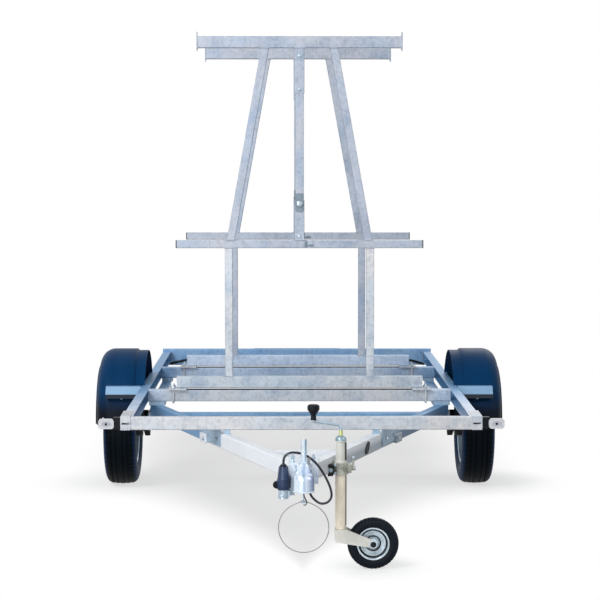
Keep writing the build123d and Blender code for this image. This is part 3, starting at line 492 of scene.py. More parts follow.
class Batch:
    """Small shapes that share a body and a material, joined in one mesh."""

    def __init__(self):
        self.verts = []
        self.faces = []

    def cap(self, ring, flip=False):
        """Close a ring with one face, unless it has shrunk to a point."""
        if tuple(ring[0]) == tuple(ring[1]):
            return
        order = range(len(self.verts), len(self.verts) + len(ring))
        self.verts += [tuple(p) for p in ring]
        self.faces.append(tuple(reversed(order)) if flip else tuple(order))

    def skin(self, rings, closed=False):
        """Quads between rings of points; the last ring meets the first, or both ends are capped."""
        base, n, m = len(self.verts), len(rings), len(rings[0])
        self.verts += [tuple(p) for ring in rings for p in ring]
        for i in range(n if closed else n - 1):
            near, far = base + i * m, base + (i + 1) % n * m
            self.faces += [(near + j, near + (j + 1) % m, far + (j + 1) % m, far + j) for j in range(m)]
        if not closed:
            self.cap(rings[0], True)
            self.cap(rings[-1])

    def lathe(self, origin, axis, profile, segs=24, phase=0, hollow=False):
        """Turn (radius, height) points about an axis; capped at both ends, or a closed ring if hollow."""
        rot = Vector(axis).to_track_quat("Z", "Y").to_matrix()
        turn = circle(segs, 360 * phase / segs)
        self.skin([[Vector(origin) + rot @ Vector((r * MM * c, r * MM * s, h * MM)) for c, s in turn]
                   for r, h in profile], hollow)

    def bolt(self, origin, axis, size=8, stud=0):
        """Washer and chamfered hexagon head, or a nut with its stud end."""
        washer = ((1.15, 0), (1.2, 0.06), (1.2, 0.18), (1.1, 0.24))
        head = ((0.95, 0.2), (0.95, 0.75), (0.817, 0.92))
        self.lathe(origin, axis, [(size * r, size * h) for r, h in washer])
        self.lathe(origin, axis, [(size * r, size * h) for r, h in head], 6, random.random())
        if stud:
            pitch, root = 1.4, size * 0.9
            thread = [(size * 0.5, size * 0.8)]
            for k in range(int(stud / pitch) + 1):
                thread += [(size * 0.5, root + k * pitch), (size * 0.43, root + k * pitch + pitch / 2)]
            self.lathe(origin, axis, thread + [(size * 0.34, root + stud + 1)], 14)

    def sweep(self, points, r, segs=8, ripple=0, closed=False):
        """Round bar through points, in small steps."""
        pts = [Vector(p) for p in points]
        n = len(pts)
        turn = circle(segs)
        rings = []
        for i, p in enumerate(pts):
            before = pts[(i - 1) % n] if closed or i else p
            after = pts[(i + 1) % n] if closed or i < n - 1 else p
            t = (after - before).normalized()
            side = t.cross(Vector((0.31, 0.17, 0.93)))
            if side.length < 0.15:
                side = t.cross(Vector((0.9, 0.1, 0.2)))
            side.normalize()
            up = side.cross(t)
            out = r * MM * (1 + ripple * sin(i * 2.4))
            rings.append([p + (side * c + up * s) * out for c, s in turn])
        self.skin(rings, closed)

    def weld(self, points, r=2.6, closed=False):
        """Bead with its scales along points."""
        self.sweep(points, r, 6, 0.28, closed)

    def bead(self, centre, u, v, half_u, half_v, r=2.8):
        """Weld round a rectangle with half sizes along the axes u and v."""
        c, u, v = Vector(centre), Vector(u) * half_u * MM, Vector(v) * half_v * MM
        corners = [c - u - v, c + u - v, c + u + v, c - u + v]
        pts = []
        for p, q in zip(corners, corners[1:] + corners[:1]):
            k = max(2, int((q - p).length / 0.004))
            pts += [p.lerp(q, i / k) for i in range(k)]
        self.weld(pts, r, True)

    def block(self, lo, hi, chamfer=1):
        """Box between two corners, with chamfered edges."""
        self.slab([(a + b) / 2 for a, b in zip(lo, hi)], [(b - a) / MM for a, b in zip(lo, hi)], chamfer)

    def slab(self, centre, size, chamfer, rot=None):
        """Box about its middle, with chamfered edges."""
        bm = bmesh.new()
        bmesh.ops.create_cube(bm, size=1)
        for vert in bm.verts:
            vert.co = [c * s * MM for c, s in zip(vert.co, size)]
        bmesh.ops.bevel(bm, geom=list(bm.edges), offset=min(chamfer, min(size) * 0.4) * MM, segments=2,
                        affect="EDGES", profile=0.6)
        bm.verts.index_update()
        base = len(self.verts)
        self.verts += [tuple((rot @ v.co if rot else v.co) + Vector(centre)) for v in bm.verts]
        self.faces += [tuple(base + v.index for v in face.verts) for face in bm.faces]
        bm.free()

    def prism(self, outline, depth, origin, x_dir, y_dir, chamfer):
        """Extrude an outline of (a, b) points, a along x_dir and b along y_dir."""
        o, x, y = Vector(origin), Vector(x_dir), Vector(y_dir)
        n = x.cross(y)
        mid = Vector((sum(p[0] for p in outline), sum(p[1] for p in outline))) / len(outline)
        rings = []
        for h, inset in ((0, chamfer), (chamfer, 0), (depth - chamfer, 0), (depth, chamfer)):
            ring = []
            for point in outline:
                away = Vector(point) - mid
                q = mid + away * max(0, 1 - inset / away.length)
                ring.append(o + (x * q.x + y * q.y + n * h) * MM)
            rings.append(ring)
        self.skin(rings)

    def done(self, name, material, body="frame", replaces=None, smooth=38, slot=False):
        """Make the piece with its material, hiding the CAD node it replaces. slot is not used."""
        mesh = bpy.data.meshes.new(name)
        mesh.from_pydata(self.verts, [], self.faces)
        bm = bmesh.new()
        bm.from_mesh(mesh)
        bmesh.ops.remove_doubles(bm, verts=bm.verts, dist=0.00002)
        bmesh.ops.recalc_face_normals(bm, faces=bm.faces)
        bm.to_mesh(mesh)
        bm.free()
        mesh.shade_smooth()
        mesh.set_sharp_from_angle(angle=radians(smooth))
        obj = add(name, mesh)
        mesh.materials.append(M[material])
        if replaces:
            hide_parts(replaces)
        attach(obj, body)


def turned(name, material, *shapes, body="frame"):
    """A piece made of turned shapes alone, each given as lathe's arguments."""
    batch = Batch()
    for shape in shapes:
        batch.lathe(*shape)
    batch.done(name, material, body)


def tread(batch, section, pitches, shares, depth, place):
    """Tyre: (offset, radius, notched) points turned about the axle, its outer half by half a pitch more.

    shares divide a pitch; between the first two, notched points are lower by depth.
    """
    rings = []
    for p in range(pitches):
        for share, lowered in zip((0, *shares), (False, True, True, False, False)):
            ring = []
            for offset, r, notched in section:
                a = 2 * pi * (p + share + (0.5 if offset > 0 else 0)) / pitches
                ring.append(place(offset, r - (depth if notched and lowered else 0), a))
            rings.append(ring)
    batch.skin(rings, True)


# ---- cords: routes in millimetres
def spline_cord(name, points, dia, slot, node):
    """Smooth tube: a NURBS spline whose control points are the route's corners."""
    curve = bpy.data.curves.new(name, "CURVE")
    curve.dimensions = "3D"
    spline = curve.splines.new("NURBS")
    spline.points.add(len(points) - 1)
    for p, q in zip(spline.points, points):
        p.co = (q[0] / 1000, q[1] / 1000, q[2] / 1000, 1)
    spline.order_u = 3
    spline.use_endpoint_u = True
    curve.resolution_u = 10
    curve.bevel_depth = dia / 2000
    curve.bevel_resolution = 4
    curve.use_fill_caps = True
    obj = add(name, curve)
    curve.materials.append(M[slot])
    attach(obj, "frame")
    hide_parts(node)
    return obj


nose_y = FRONT_Y * 1000 + NOSE_U
plug_x, plug_y, gland_top = -83, nose_y - 38, 497
exit_x, exit_y, exit_z = 22, nose_y + 12, 399
cable_points = [(exit_x + x, exit_y + y, exit_z + z) for x, y, z in (
    (0, 0, 0), (2, -8, -24), (10, -23, -43), (26, -36, -58), (48, -43, -72), (77, -46, -67),
    (95, -47, -44), (92, -47, -14), (82, -47, 14), (69, -47, 41), (54, -47, 67), (37, -47, 91),
    (16, -46, 113), (-8, -46, 129))]
cable_points += [(plug_x + x, plug_y + y, gland_top + z) for x, y, z in (
    (75, 3, 41), (49, 1, 46), (26, 0, 45.2), (9.2, 0, 35.6), (0, 0, 19), (0, 0, 0))]
cable = spline_cord("trailer_cable", cable_points, 10, "cable_sheath", "cable")

loop_y, clip_z, loop_r, sleeve_half = nose_y - 78, 345, 107, 12
loop_points = [(sleeve_half, loop_y, clip_z)]
loop_points += [(loop_r * c, loop_y, clip_z - loop_r + loop_r * s) for c, s in arc(10, 60, -240)]
loop_points.append((-sleeve_half, loop_y, clip_z))
loop = spline_cord("safety_wire", loop_points, 4, "wire", "safety_loop")


# ---- road wheels
ROAD_CUTS = (0.03, 0.13, 0.16, 0.6)  # shares of a tread pitch
NUT_R, NUT_OUT, VALVE_R, VALVE_OUT, VALVE_TURN = 54, 14, 152, 19, radians(54)
CAP_OUT, TEETH_R = 45.8, 30  # hub cap from the wheel's middle, and its ring of teeth


def on_wheel(side, out, r, a):
    """Point of a road wheel: out from its middle plane, and r from its axis at an angle from the top."""
    return (side * (WHEEL_X + out * MM), WHEEL_Y + r * MM * sin(a), WHEEL_R + r * MM * cos(a))


def smooth_path(points, per):
    """Catmull-Rom curve through 2-D points."""
    out = []
    for i in range(len(points) - 1):
        near = [points[j] for j in (max(i - 1, 0), i, i + 1, min(i + 2, len(points) - 1))]
        for k in range(per):
            t = k / per
            out.append(tuple(0.5 * (2 * b + (c - a) * t + (2 * a - 5 * b + 4 * c - d) * t * t +
                                    (3 * b - a - 3 * c + d) * t ** 3) for a, b, c, d in zip(*near)))
    return out + [points[-1]]


def road_section():
    """Wall, notched shoulder and crown with four grooves, from one bead to the other."""
    wall = smooth_path([(-66, 178), (-66.2, 190), (-69, 198), (-78.5, 210.5), (-85, 228), (-86.9, 243),
                        (-85.5, 258), (-82.5, 270), (-78, 280.5)], 3)
    half = [(x, r, False) for x, r in wall if not 232 < r < 235]  # one point less below the widest part
    half += [(x, r, True) for x, r in ((-74.5, 285.8), (-69, 290.8), (-62, 295.2), (-55, 297.8), (-49, 299))]
    groove = ((-4.2, 0), (-3.6, -6.2), (3.6, -6.2), (4.2, 0))
    crown = [(x - 42.5, drop) for x, drop in groove] + [(-30, 0)]
    crown += [(x - 17, drop) for x, drop in groove] + [(0, 0)]
    half += [(x, WHEEL_R / MM - 0.00145 * x * x + drop, False) for x, drop in crown]
    return half + [(-x, r, notched) for x, r, notched in reversed(half[:-1])]


for side, name in SIDES:
    wheel, out = "wheel_" + name, (side, 0, 0)
    batch = Batch()
    tread(batch, road_section(), 64 // STEPS, ROAD_CUTS, 2, lambda x, r, a: on_wheel(side, x, r, a))
    batch.done("road_tyre_" + name, "tyre_rubber", wheel, "tyre_" + name, 42)
    steel = Batch()
    for k in range(5):
        seat = on_wheel(side, NUT_OUT, NUT_R, 2 * pi * k / 5)
        steel.lathe(seat, out, [(7.5, 0), (7.5, 2), (6.8, 3)])
        steel.lathe(seat, out, [(6.6, 2), (6.6, 11), (5.6, 13.5), (3, 15)], 6)
    cap = [(30.2, -4), (30.6, -2), (29.6, 0.4), (25, 2.2), (12, 3), (0, 3.2)]
    steel.lathe(on_wheel(side, CAP_OUT, 0, 0), out, cap, 40)
    for k in range(24):
        a = 2 * pi * k / 24
        turn = Matrix.Rotation(-side * a, 3, "X")
        steel.slab(on_wheel(side, CAP_OUT - 1.3, TEETH_R, a), (3, 4, 1.6), 0.4, turn)
    steel.done("wheel_nuts_" + name, "zinc", wheel)
    lean = (side, 0.18 * sin(VALVE_TURN), 0.18 * cos(VALVE_TURN))
    valve = [(8, -4), (8, 2), (4.6, 6), (4, 26), (5, 27), (5, 36), (3.8, 38.5)]
    turned("wheel_valve_" + name, "black_plastic",
           (on_wheel(side, VALVE_OUT, VALVE_R, VALVE_TURN), lean, valve, 20), body=wheel)

# ---- mudguards: millimetres from the wheel's middle plane and from the crown's centre
GUARD_R, GUARD_Z = 370, 0.36
GUARD_IN, SKIN_IN, GUARD_OUT = 811, 829.3, 1063
STEP_X, STEP = 872, 9  # the crown steps down to a ledge on its inner side
LEDGE_R = GUARD_R - STEP
SHOULDER, SKIRT_R, GUARD_T = 75, 278, 4
CUT_X, END_RISE = GUARD_OUT - 24, 44  # inside CUT_X the ends stay that far above the centre
LIP = ((0, 12), (0.6, 7.5), (3, 4.5), (7.5, 3.5), (8.2, 0.5), (7.8, -2.5))
RAIL_LOW, RAIL_HIGH = asin(142 / LEDGE_R), asin(205.6 / (LEDGE_R - GUARD_T))  # the side rail is between


def guard_across(grow):
    """(x, radius, long) across the guard's skin; long columns reach down to the centre."""
    r, step = GUARD_R - grow, STEP_X - grow
    pts = [(SKIN_IN, r - STEP, False), (step - 9.5, r - STEP, False), (step - 7.5, r - 8.3, False),
           (step - 3.5, r - 1.2, False), (step + 0.5, r, False), (910, r, False), (950, r, False)]
    cx, cr, bend = GUARD_OUT - SHOULDER, GUARD_R - SHOULDER, SHOULDER - grow
    cut = asin((CUT_X - cx) / SHOULDER)
    turns = [(cut * k / 5, False) for k in range(6)]
    turns += [(cut + (pi / 2 - cut) * k / 6, True) for k in range(7)]
    pts += [(cx + bend * sin(a), cr + bend * cos(a), full) for a, full in turns]
    edge = ((-grow, 12), (-grow, 0)) if grow else LIP
    return pts + [(GUARD_OUT + x, SKIRT_R + h, True) for x, h in edge]


def guard_sweep(batch, section, side, first, last, count):
    """Sweep a closed section over an arc; short columns start END_RISE above the centre."""
    rings = []
    for i in range(count + 1):
        ring = []
        for x, r, full in section:
            low = 0 if full else asin(END_RISE / r)
            a0, a1 = max(first, low), min(last, pi - low)
            a = a0 + (a1 - a0) * i / count
            ring.append((side * x * MM, WHEEL_Y - r * MM * cos(a), GUARD_Z + r * MM * sin(a)))
        rings.append(ring)
    batch.skin(rings)


for side, name in SIDES:
    batch = Batch()
    guard_sweep(batch, guard_across(0) + guard_across(GUARD_T)[::-1], side, 0, pi, 96 // STEPS)
    ledge = [(GUARD_IN, LEDGE_R, False), (SKIN_IN, LEDGE_R, False),
             (SKIN_IN, LEDGE_R - GUARD_T, False), (GUARD_IN, LEDGE_R - GUARD_T, False)]
    guard_sweep(batch, ledge, side, 0, RAIL_LOW, 10)
    guard_sweep(batch, ledge, side, RAIL_HIGH, pi - RAIL_HIGH, 60 // STEPS)
    guard_sweep(batch, ledge, side, pi - RAIL_LOW, pi, 10)
    batch.done("moulded_guard_" + name, "guard_plastic", replaces="mudguard_" + name, smooth=30)

# ---- jockey wheel
JOCKEY_CUTS = (0.06, 0.26, 0.32, 0.66)
CRANK_REACH, JAW_X = 0.117, (0.105, 0.113, 0.129)


def on_pin(y, r=0, a=0):
    """Point of the jockey wheel: y from its middle plane, and r from its pin at an angle."""
    return (HUB_X + r * MM * cos(a), JOCK_Y + y * MM, HUB_Z + r * MM * sin(a))


def on_tube(z, x=0):
    return (JOCK_X + x, JOCK_Y, z)


batch = Batch()
wall = ((-20, 68), (-23.8, 76), (-25, 85), (-24.6, 93), (-23.2, 98.5), (-20, 104.5), (-16, 108.2),
        (-10, 109.6), (-3, 110), (-2.2, 108.2))
solid = [(y, r, r > 95 and y < -5) for y, r in wall]
solid += [(-y, r, notched) for y, r, notched in reversed(solid)]
tread(batch, solid, 40, JOCKEY_CUTS, 3.4, on_pin)
batch.done("solid_jockey_tyre", "black_rubber", "jockey_wheel", "jockey_tyre", 40)

bright, recess, rings, ends = Batch(), Batch(), Batch(), Batch()
for face in (-1, 1):
    out = (0, face, 0)
    for batch, segs, ring in (
            (bright, 80, [(64, 20.5), (64, 23.6), (65.8, 25.2), (68.8, 25.2), (70.2, 23.6), (70.2, 20.5)]),
            (bright, 80, [(47.5, 4), (48, 7.5), (50, 9.2), (53, 9.2), (54.8, 7.5), (55.2, 4)]),
            (bright, 56, [(20, 12), (20.5, 21), (18, 22.2), (12, 22.2), (11, 12)]),
            (recess, 80, [(55.6, 4), (55.6, 6.2), (62.2, 6.6), (62.2, 4)]),
            (recess, 64, [(30, 3.6), (30, 5.8), (34.5, 5.8), (34.5, 3.6)])):
        batch.lathe(on_pin(0), out, ring, segs, hollow=True)
    rings.lathe(on_pin(face * 35), out, [(17, 0), (17.4, 1.6), (16.4, 3.2), (13, 3.4), (12.4, 2)], 40)
    ends.lathe(on_pin(face * 35.2), out,
               [(12.6, 0), (12.6, 2.2), (7.6, 2.4), (7.4, 10.4), (5.6, 11.2), (0, 11.2)], 32)
bright.done("jockey_rim_trim", "bright_zinc", "jockey_wheel")
recess.done("jockey_rim_recess", "black_paint", "jockey_wheel")
rings.done("jockey_axle_rings", "bright_zinc", "jockey_caster")
ends.done("jockey_axle_ends", "black_paint", "jockey_caster")

# a dark strip down the tube's right-front side: painted shade on its shaded edge
shade_strip = Batch()
across = arc(8, -4, -36)
strip = [(24.22 * c, 24.22 * s) for c, s in across] + [(23.6 * c, 23.6 * s) for c, s in reversed(across)]
for z_pair in ((0.19, 0.404), (0.469, 0.545)):  # below and above the clamp
    shade_strip.skin([[(JOCK_X + x * MM, JOCK_Y + y * MM, z) for x, y in strip] for z in z_pair])
shade_strip.done("jockey_tube_shade_strip", "shade_strip", "jockey_outer")
turned("jockey_tube_collar", "yellow_zinc",
       (on_tube(0.458), Z, [(24.2, -4), (25.6, 2), (25.8, 7), (24.6, 9.2)], 48),
       (on_tube(0.548), Z, [(21.6, -2), (24, 0), (24.4, 4), (23.8, 8)], 48), body="jockey_outer")
top_cap = [(23.8, 0), (24.4, 4), (23.8, 10), (21.2, 16.5), (15, 22.5), (10, 24.5)]
turned("jockey_top_cap", "blue_zinc", (on_tube(0.5495), Z, top_cap, 48), body="jockey_outer")
crank_collar = [(8, -2), (9.6, 0), (9.6, 6), (8.4, 8), (8.4, 20), (7.4, 23)]
turned("jockey_crank_collar", "olive_zinc", (on_tube(0.574), Z, crank_collar, 32), body="jockey_outer")
knob = Batch()
for k in range(7):
    r = 11.6 + 2.1 * k
    knob.lathe(on_tube(0.662 + 0.0034 * k, -CRANK_REACH), Z, [(r, 0), (r + 0.8, 0.8), (r, 1.6)], 36)
knob.done("crank_knob_rings", "black_plastic", "jockey_outer")

jaw = Batch()
jaw.block((JAW_X[0], JOCK_Y - 0.04, 0.405), (JAW_X[2], JOCK_Y - 0.024, 0.456), 3)
for z in (0.405, 0.444):
    jaw.block((JAW_X[0], JOCK_Y - 0.047, z), (JAW_X[1], JOCK_Y - 0.033, z + 0.012), 2)
jaw.done("jockey_bracket_jaw", "black_paint")
turned("jockey_jaw_stud", "blue_zinc",
       ((0.118, JOCK_Y - 0.0398, 0.4305), FORWARD, [(8.5, 0), (8.8, 1.2), (6, 2.4), (0, 2.8)], 28))
clamp = Batch()
clamp.lathe(on_tube(0.4792, 0.052), Z, [(5.6, -4), (7.2, -1), (7.6, 2), (6, 4.8), (0, 5.6)])
clamp.lathe(on_tube(0.433, 0.059), X, [(8.2, 0), (9.2, 1), (9.2, 4), (0, 5.2)], 32)
for z in (0.415, 0.451):
    clamp.bolt((0.1385, JOCK_Y - 0.0242, z), FORWARD, 5.8)
clamp.done("jockey_clamp_trim", "zinc")

# ---- coupling and nose
NOSE_Y, BALL_Y = at_u(NOSE_U), at_u(BALL_U)
LEVER_Y, LOOP_Y = at_u(-972), loop_y / 1000
PLUG_X, PLUG_Y = plug_x / 1000, plug_y / 1000


def on_plug(z):
    return (PLUG_X, PLUG_Y, z)


steel = Batch()
for x in (-0.044, 0.044):
    for dy in (0.035, 0.135):
        steel.bolt((x, NOSE_Y + dy, 0.493), Z, 8.8, 6)
for x in (-0.026, 0.026):
    steel.bolt((x, NOSE_Y - 0.04, 0.473), Z, 6.2)
steel.done("coupling_bolts", "zinc")
cast = Batch()
cast.lathe((0, BALL_Y, 0.402), Z, [(42.8, 0), (44.4, 1.2), (44.4, 5), (43, 6.4)], 64)
cast.bead((0, NOSE_Y - 0.0082, 0.444), X, Z, 33.2, 29, 2.6)
cast.done("coupling_rim", "bright_zinc")
pin = [(7.4, -1), (8.2, 0.4), (7.8, 3.2), (0, 4.2)]
turned("lever_pin_heads", "zinc",
       *(((side * 0.03, LEVER_Y + 0.018, 0.476), (side, 0, 0), pin, 28) for side in (-1, 1)))
spring = Batch()
spring.sweep([(0.0205 + 0.0062 * cos(2 * pi * k / 15), LEVER_Y + 0.04 + 0.0062 * sin(2 * pi * k / 15),
               0.4985 + 0.00022 * k) for k in range(120)], 1.1, 6)
spring.done("lever_spring", "wire")
hook = Batch()
hook.sweep([(x * MM, LOOP_Y + y * MM, z * MM) for x, y, z in (
    (0, -4, 399.5), (0, -6, 382), (3, -8, 366), (11, -9, 352), (13.5, -9, 341), (8.5, -9, 333.5),
    (-1, -9, 333))], 2.4, 10)
hook.lathe((0, LOOP_Y, 0.4), Z, [(7.5, -1.5), (8.2, 0), (7.5, 1.8)])
hook.done("safety_hook", "black_paint")
turned("wire_ferrule", "zinc",
       ((-sleeve_half / 1000, LOOP_Y, clip_z / 1000), X, [(2.8, -2), (5.4, 0), (5.4, 23.5), (2.8, 25.5)]))

ribs = Batch()
for k, (c, s) in enumerate(circle(18)):
    turn = Matrix.Rotation(2 * pi * k / 18, 3, "Z")
    ribs.slab((PLUG_X + 0.0256 * c, PLUG_Y + 0.0256 * s, 0.41), (2.8, 4.2, 30), 0.9, turn)
ribs.lathe(on_plug(0.4262), Z, [(26.2, 0), (28.4, 1), (28.4, 4), (26.2, 5)], 48)
ribs.lathe(on_plug(0.3895), Z, [(24, 0), (25.6, 0.8), (25.6, 3.2), (24.4, 4)], 48)
ribs.done("plug_ribs", "plug_plastic")
lug = Batch()
lug.lathe((PLUG_X - 0.0285, PLUG_Y - 0.0095, 0.409), Y, [(12.5, 0), (15, 2), (15, 17), (12.5, 19)], 32)
lug.block((PLUG_X + 0.0262, PLUG_Y - 0.006, 0.396), (PLUG_X + 0.03, PLUG_Y + 0.006, 0.446))
lug.lathe(on_plug(0.487), Z, [(13.5, -1), (14.2, 1), (13.2, 3.2), (11.8, 6)], 32)
lug.done("plug_lugs", "black_plastic")
turned("parking_cup_rolls", "zinc",
       (on_plug(0.352), Z, [(21.2, 0), (21.9, 1.2), (21.4, 3), (21.4, 12), (22, 13.2), (21.4, 14.6)], 48))

# ---- drawbar
TURN = atan(DRAW_SLOPE)


def beside(u, z, side=1):
    """Point on a drawbar tube's outer face, u in metres behind the crossbar's face."""
    return Vector((side * (DRAW_FACE + DRAW_SLOPE * u), FRONT_Y + u, z))


bolts, tabs, welds = Batch(), Batch(), Batch()
for side in (-1, 1):
    out = Vector((side * cos(TURN), -sin(TURN), 0))
    along = Vector((side * sin(TURN), cos(TURN), 0))
    for u in (0.075, 0.19):
        bolts.bolt(beside(u, 0.456, side) + out * 0.0062, out, 8.2)
    tab = beside(0.246, 0.4345, side)
    tabs.slab(tab + out * 0.007, (84, 14, 43), 1.6, Matrix((along, out, Vector(Z))).transposed())
    bolts.bolt(tab + out * 0.014 - along * 0.016, out, 8.8)
    for u in RACK_U:
        under = min(0.3353 + DRAW_SLOPE * (u * MM + 0.02), 0.752)  # the tube's middle under a base beam
        for dx in (-0.026, 0.02):
            bolts.bolt((side * (under + dx), at_u(u) + 0.02, 0.415), DOWN, 8.5, 4)
    for u in (-0.505, -0.458):
        x = 0.3353 - 0.0267 + DRAW_SLOPE * u
        welds.weld([(side * x, FRONT_Y + u, 0.416 + 0.004 * k) for k in range(18)])
bolts.done("drawbar_bolts", "zinc")
tabs.done("drawbar_light_tabs", "galv_bright")
welds.done("cross_tie_welds", "weld")

grommet = Batch()
out = Vector((cos(TURN), -sin(TURN), 0))
along = Vector((sin(TURN), cos(TURN), 0))
oval = [(20 * c + 14 * s, 24 * s) for c, s in circle(48)]
middle = beside(-0.183, 0.45) + out * 0.0003
grommet.prism(oval, 2.6, middle, along, Z, 0.8)
edge = [middle + out * 0.0018 + (along * a + Vector(Z) * b) * 1.05 * MM for a, b in oval]
grommet.sweep(edge, 2.6, closed=True)
grommet.done("wire_grommet", "black_plastic")

# ---- rack frames
RACK_WELDS = (  # x, z, directions, half sizes: upright, leg, ends of top bar and cross-member
    (0.363, 0.6332, X, Y, 20.2, 20.2), (0.363, 1.2938, X, Y, 20.2, 20.2),
    (0.3527, 1.3342, X, Y, 20.6, 20.2), (0.1763, 2.3128, X, Y, 20.6, 20.2),
    (0.5198, 2.343, Y, Z, 20.2, 30.2), (0.7788, 0.535, Y, Z, 20.2, 30.2))
FOOT_X, PIN_X, POST_Z = 0.65, (0.592, 0.618), (1.354, 2.105, 2.274)
STRAP = ((-22.5, 1574), (-22.5, 1495), (-20, 1486), (-13, 1480), (0, 1478),
         (13, 1480), (20, 1486), (22.5, 1495), (22.5, 1574))
welds, bolts, straps, knobs = Batch(), Batch(), Batch(), Batch()
for u in RACK_U:
    front = at_u(u)
    middle, back = front + 0.02, front + 0.04
    for side in (-1, 1):
        for x, z, across, up, half_u, half_v in RACK_WELDS:
            welds.bead((side * x, middle, z), across, up, half_u, half_v)
        for dy in (-0.0353, 0.0353):
            bolts.bolt((side * FOOT_X, middle + dy, 0.5732), Z, 10)
            bolts.lathe((side * FOOT_X, middle + dy, 0.5862), Z, [(4.9, 0), (4.9, 3), (4, 4.2)], 16)
        for x in PIN_X:
            bolts.lathe((side * x, middle - 0.036, 0.5731), Z, [(5.8, 0), (6, 1.2), (5.2, 2.6)], 20)
    for z in (1.3342, 2.3128):
        welds.bead((0, middle, z), X, Y, 25.2, 20.2)
    for z in POST_Z:
        bolts.bolt((0, front - 0.0001, z), FORWARD, 7)
        bolts.bolt((0, back + 0.0001, z), Y, 7, 3)
    straps.prism(STRAP, 3, (0, front - 0.0002, 0), X, Z, 0.6)
    knobs.lathe((0, front - 0.003, 1.521), FORWARD,
                [(13, 0), (13.4, 2.8), (16, 3.6), (16.4, 6), (15, 8), (10, 9.6), (0, 10)], 40)
    straps.block((0.0255, front - 0.006, 1.2985), (0.0375, front - 0.0002, 1.334), 1.5)
    straps.block((0.037, front - 0.0035, 1.304), (0.072, front - 0.0002, 1.314))
welds.done("frame_welds", "weld")
bolts.done("frame_bolts", "zinc")
straps.done("post_locking_plates", "grey_zinc")
knobs.done("post_locking_knobs", "zinc")

# ---- rails, corners and stays
RAIL_Z, STAY_REACH = 0.535, 0.345
bolts, welds = Batch(), Batch()
for side in (-1, 1):
    for dy in (0.05, 0.15):  # corner plate
        bolts.bolt((side * 0.8331, FRONT_Y + dy, RAIL_Z), (side, 0, 0), 8.5)
    for face in (-1, 1):  # mudguard stays: at the rail and at the guard
        bolts.bolt((side * 0.8248, WHEEL_Y + face * (STAY_REACH - 0.018), RAIL_Z), (-side, 0, 0), 8.5, 8)
        bolts.bolt((side * 0.93, WHEEL_Y + face * STAY_REACH, 0.5048), DOWN, 7)
    for dy in (-0.06, 0.06):  # axle bracket
        bolts.bolt((side * 0.77, WHEEL_Y - 0.136 + dy, 0.4066), DOWN, 9.5, 6)
    welds.weld([(side * (0.828 - 0.0042 * k), FRONT_Y + 0.0452, 0.5652) for k in range(10)])
    welds.weld([(side * 0.779, at_u(2998), 0.507 + 0.004 * k) for k in range(15)])
bolts.done("frame_side_bolts", "zinc")
welds.done("frame_side_welds", "weld")

boots = Batch()
loom_y = at_u(2993.5)
for side, run in (
        (-1, ((788, 488.5), (772, 492.5), (752, 497.5), (730, 503), (706, 509), (680, 515.5))),
        (1, ((786, 484), (770, 490.5), (750, 497), (730, 503), (710, 508), (690, 512)))):
    places = [(side * x * MM, loom_y, z * MM) for x, z in run]
    boots.sweep(places, 6.6, 12)
    for place in (places[1], places[4]):
        boots.lathe(place, (1, 0, -0.25 * side), [(6.6, -3), (8.4, -2), (8.4, 2), (6.6, 3)], 20)
boots.done("rear_loom_boots", "black_plastic")

# ---- lights
MARKER_X, MARKER_Z, MARKER_Y = 0.898, 0.534, FRONT_Y - 0.006
REAR_X, REAR_Z, REAR_Y = 0.664, 0.53, at_u(3040)
rims, bulbs, optics, backs = Batch(), Batch(), Batch(), Batch()
for side in (-1, 1):
    cx = side * MARKER_X
    for outline, r, y in (([(23.5 * c, 13.5 * s) for c, s in circle(56)], 1.3, 0.0002),
                          (rounded(69, 43, 12.5, 8), 1.1, 0.0001)):
        rims.sweep([(cx + a * MM, MARKER_Y - y, MARKER_Z + b * MM) for a, b in outline], r, closed=True)
    inner = [(21.5 * c, 12 * s) for c, s in circle(56)]
    optics.prism(inner, 1.2, (cx, MARKER_Y + 0.0004, MARKER_Z), X, Z, 0.5)
    bulb = [(5.2, -0.5), (5.6, 0.8), (4, 1.8), (0, 2.2)]
    bulbs.lathe((cx, MARKER_Y - 0.0006, MARKER_Z), FORWARD, bulb, 28)
    backs.prism(rounded(66, 40, 12, 8), 10, (cx, FRONT_Y + 0.016, MARKER_Z), LEFT, Z, 2)
rims.done("marker_lens_rings", "white_lens")
bulbs.done("marker_lamp_bulbs", "black_plastic")
optics.done("marker_lamp_optics", "grey_lens")
backs.done("marker_lamp_backs", "black_plastic")

housing, red, amber, sign = Batch(), Batch(), Batch(), Batch()
triangle = [(36 * c, 36 * s) for c, s in circle(3, 90)]
for side in (-1, 1):
    cx = side * REAR_X
    housing.prism(rounded(230, 76, 10, 8), 22, (cx, REAR_Y, REAR_Z), LEFT, Z, 1.5)
    for x, w, group in ((0.078, 66, amber), (0, 82, red), (-0.08, 62, red)):
        group.prism(rounded(w, 68, 6), 22.5, (cx + side * x, REAR_Y + 0.0222, REAR_Z), LEFT, Z, 3)
    for dx in (-0.036, 0.043):
        housing.bolt((cx + side * dx, REAR_Y + 0.0225, REAR_Z), Y, 3.2)
    holder = [(a * 1.18, b * 1.18) for a, b in triangle]
    housing.prism(holder, 4, (side * 0.4, REAR_Y, 0.522), LEFT, Z, 0.8)
    red.prism(triangle, 4.5, (side * 0.4, REAR_Y + 0.004, 0.522), LEFT, Z, 1.2)
housing.done("rear_lamp_housings", "black_plastic", replaces="rear_lamps")
red.done("rear_red_lenses", "red_lens", slot=True)
amber.done("rear_amber_lenses", "amber_lens")
sign.prism(rounded(520, 84, 8), 1.6, (0, REAR_Y + 0.0121, REAR_Z), LEFT, Z, 0.4)
sign.done("blank_plate", "plate_blank")
screw = [(4.6, 0), (4.6, 1.2), (3.4, 2.2), (0, 2.4)]
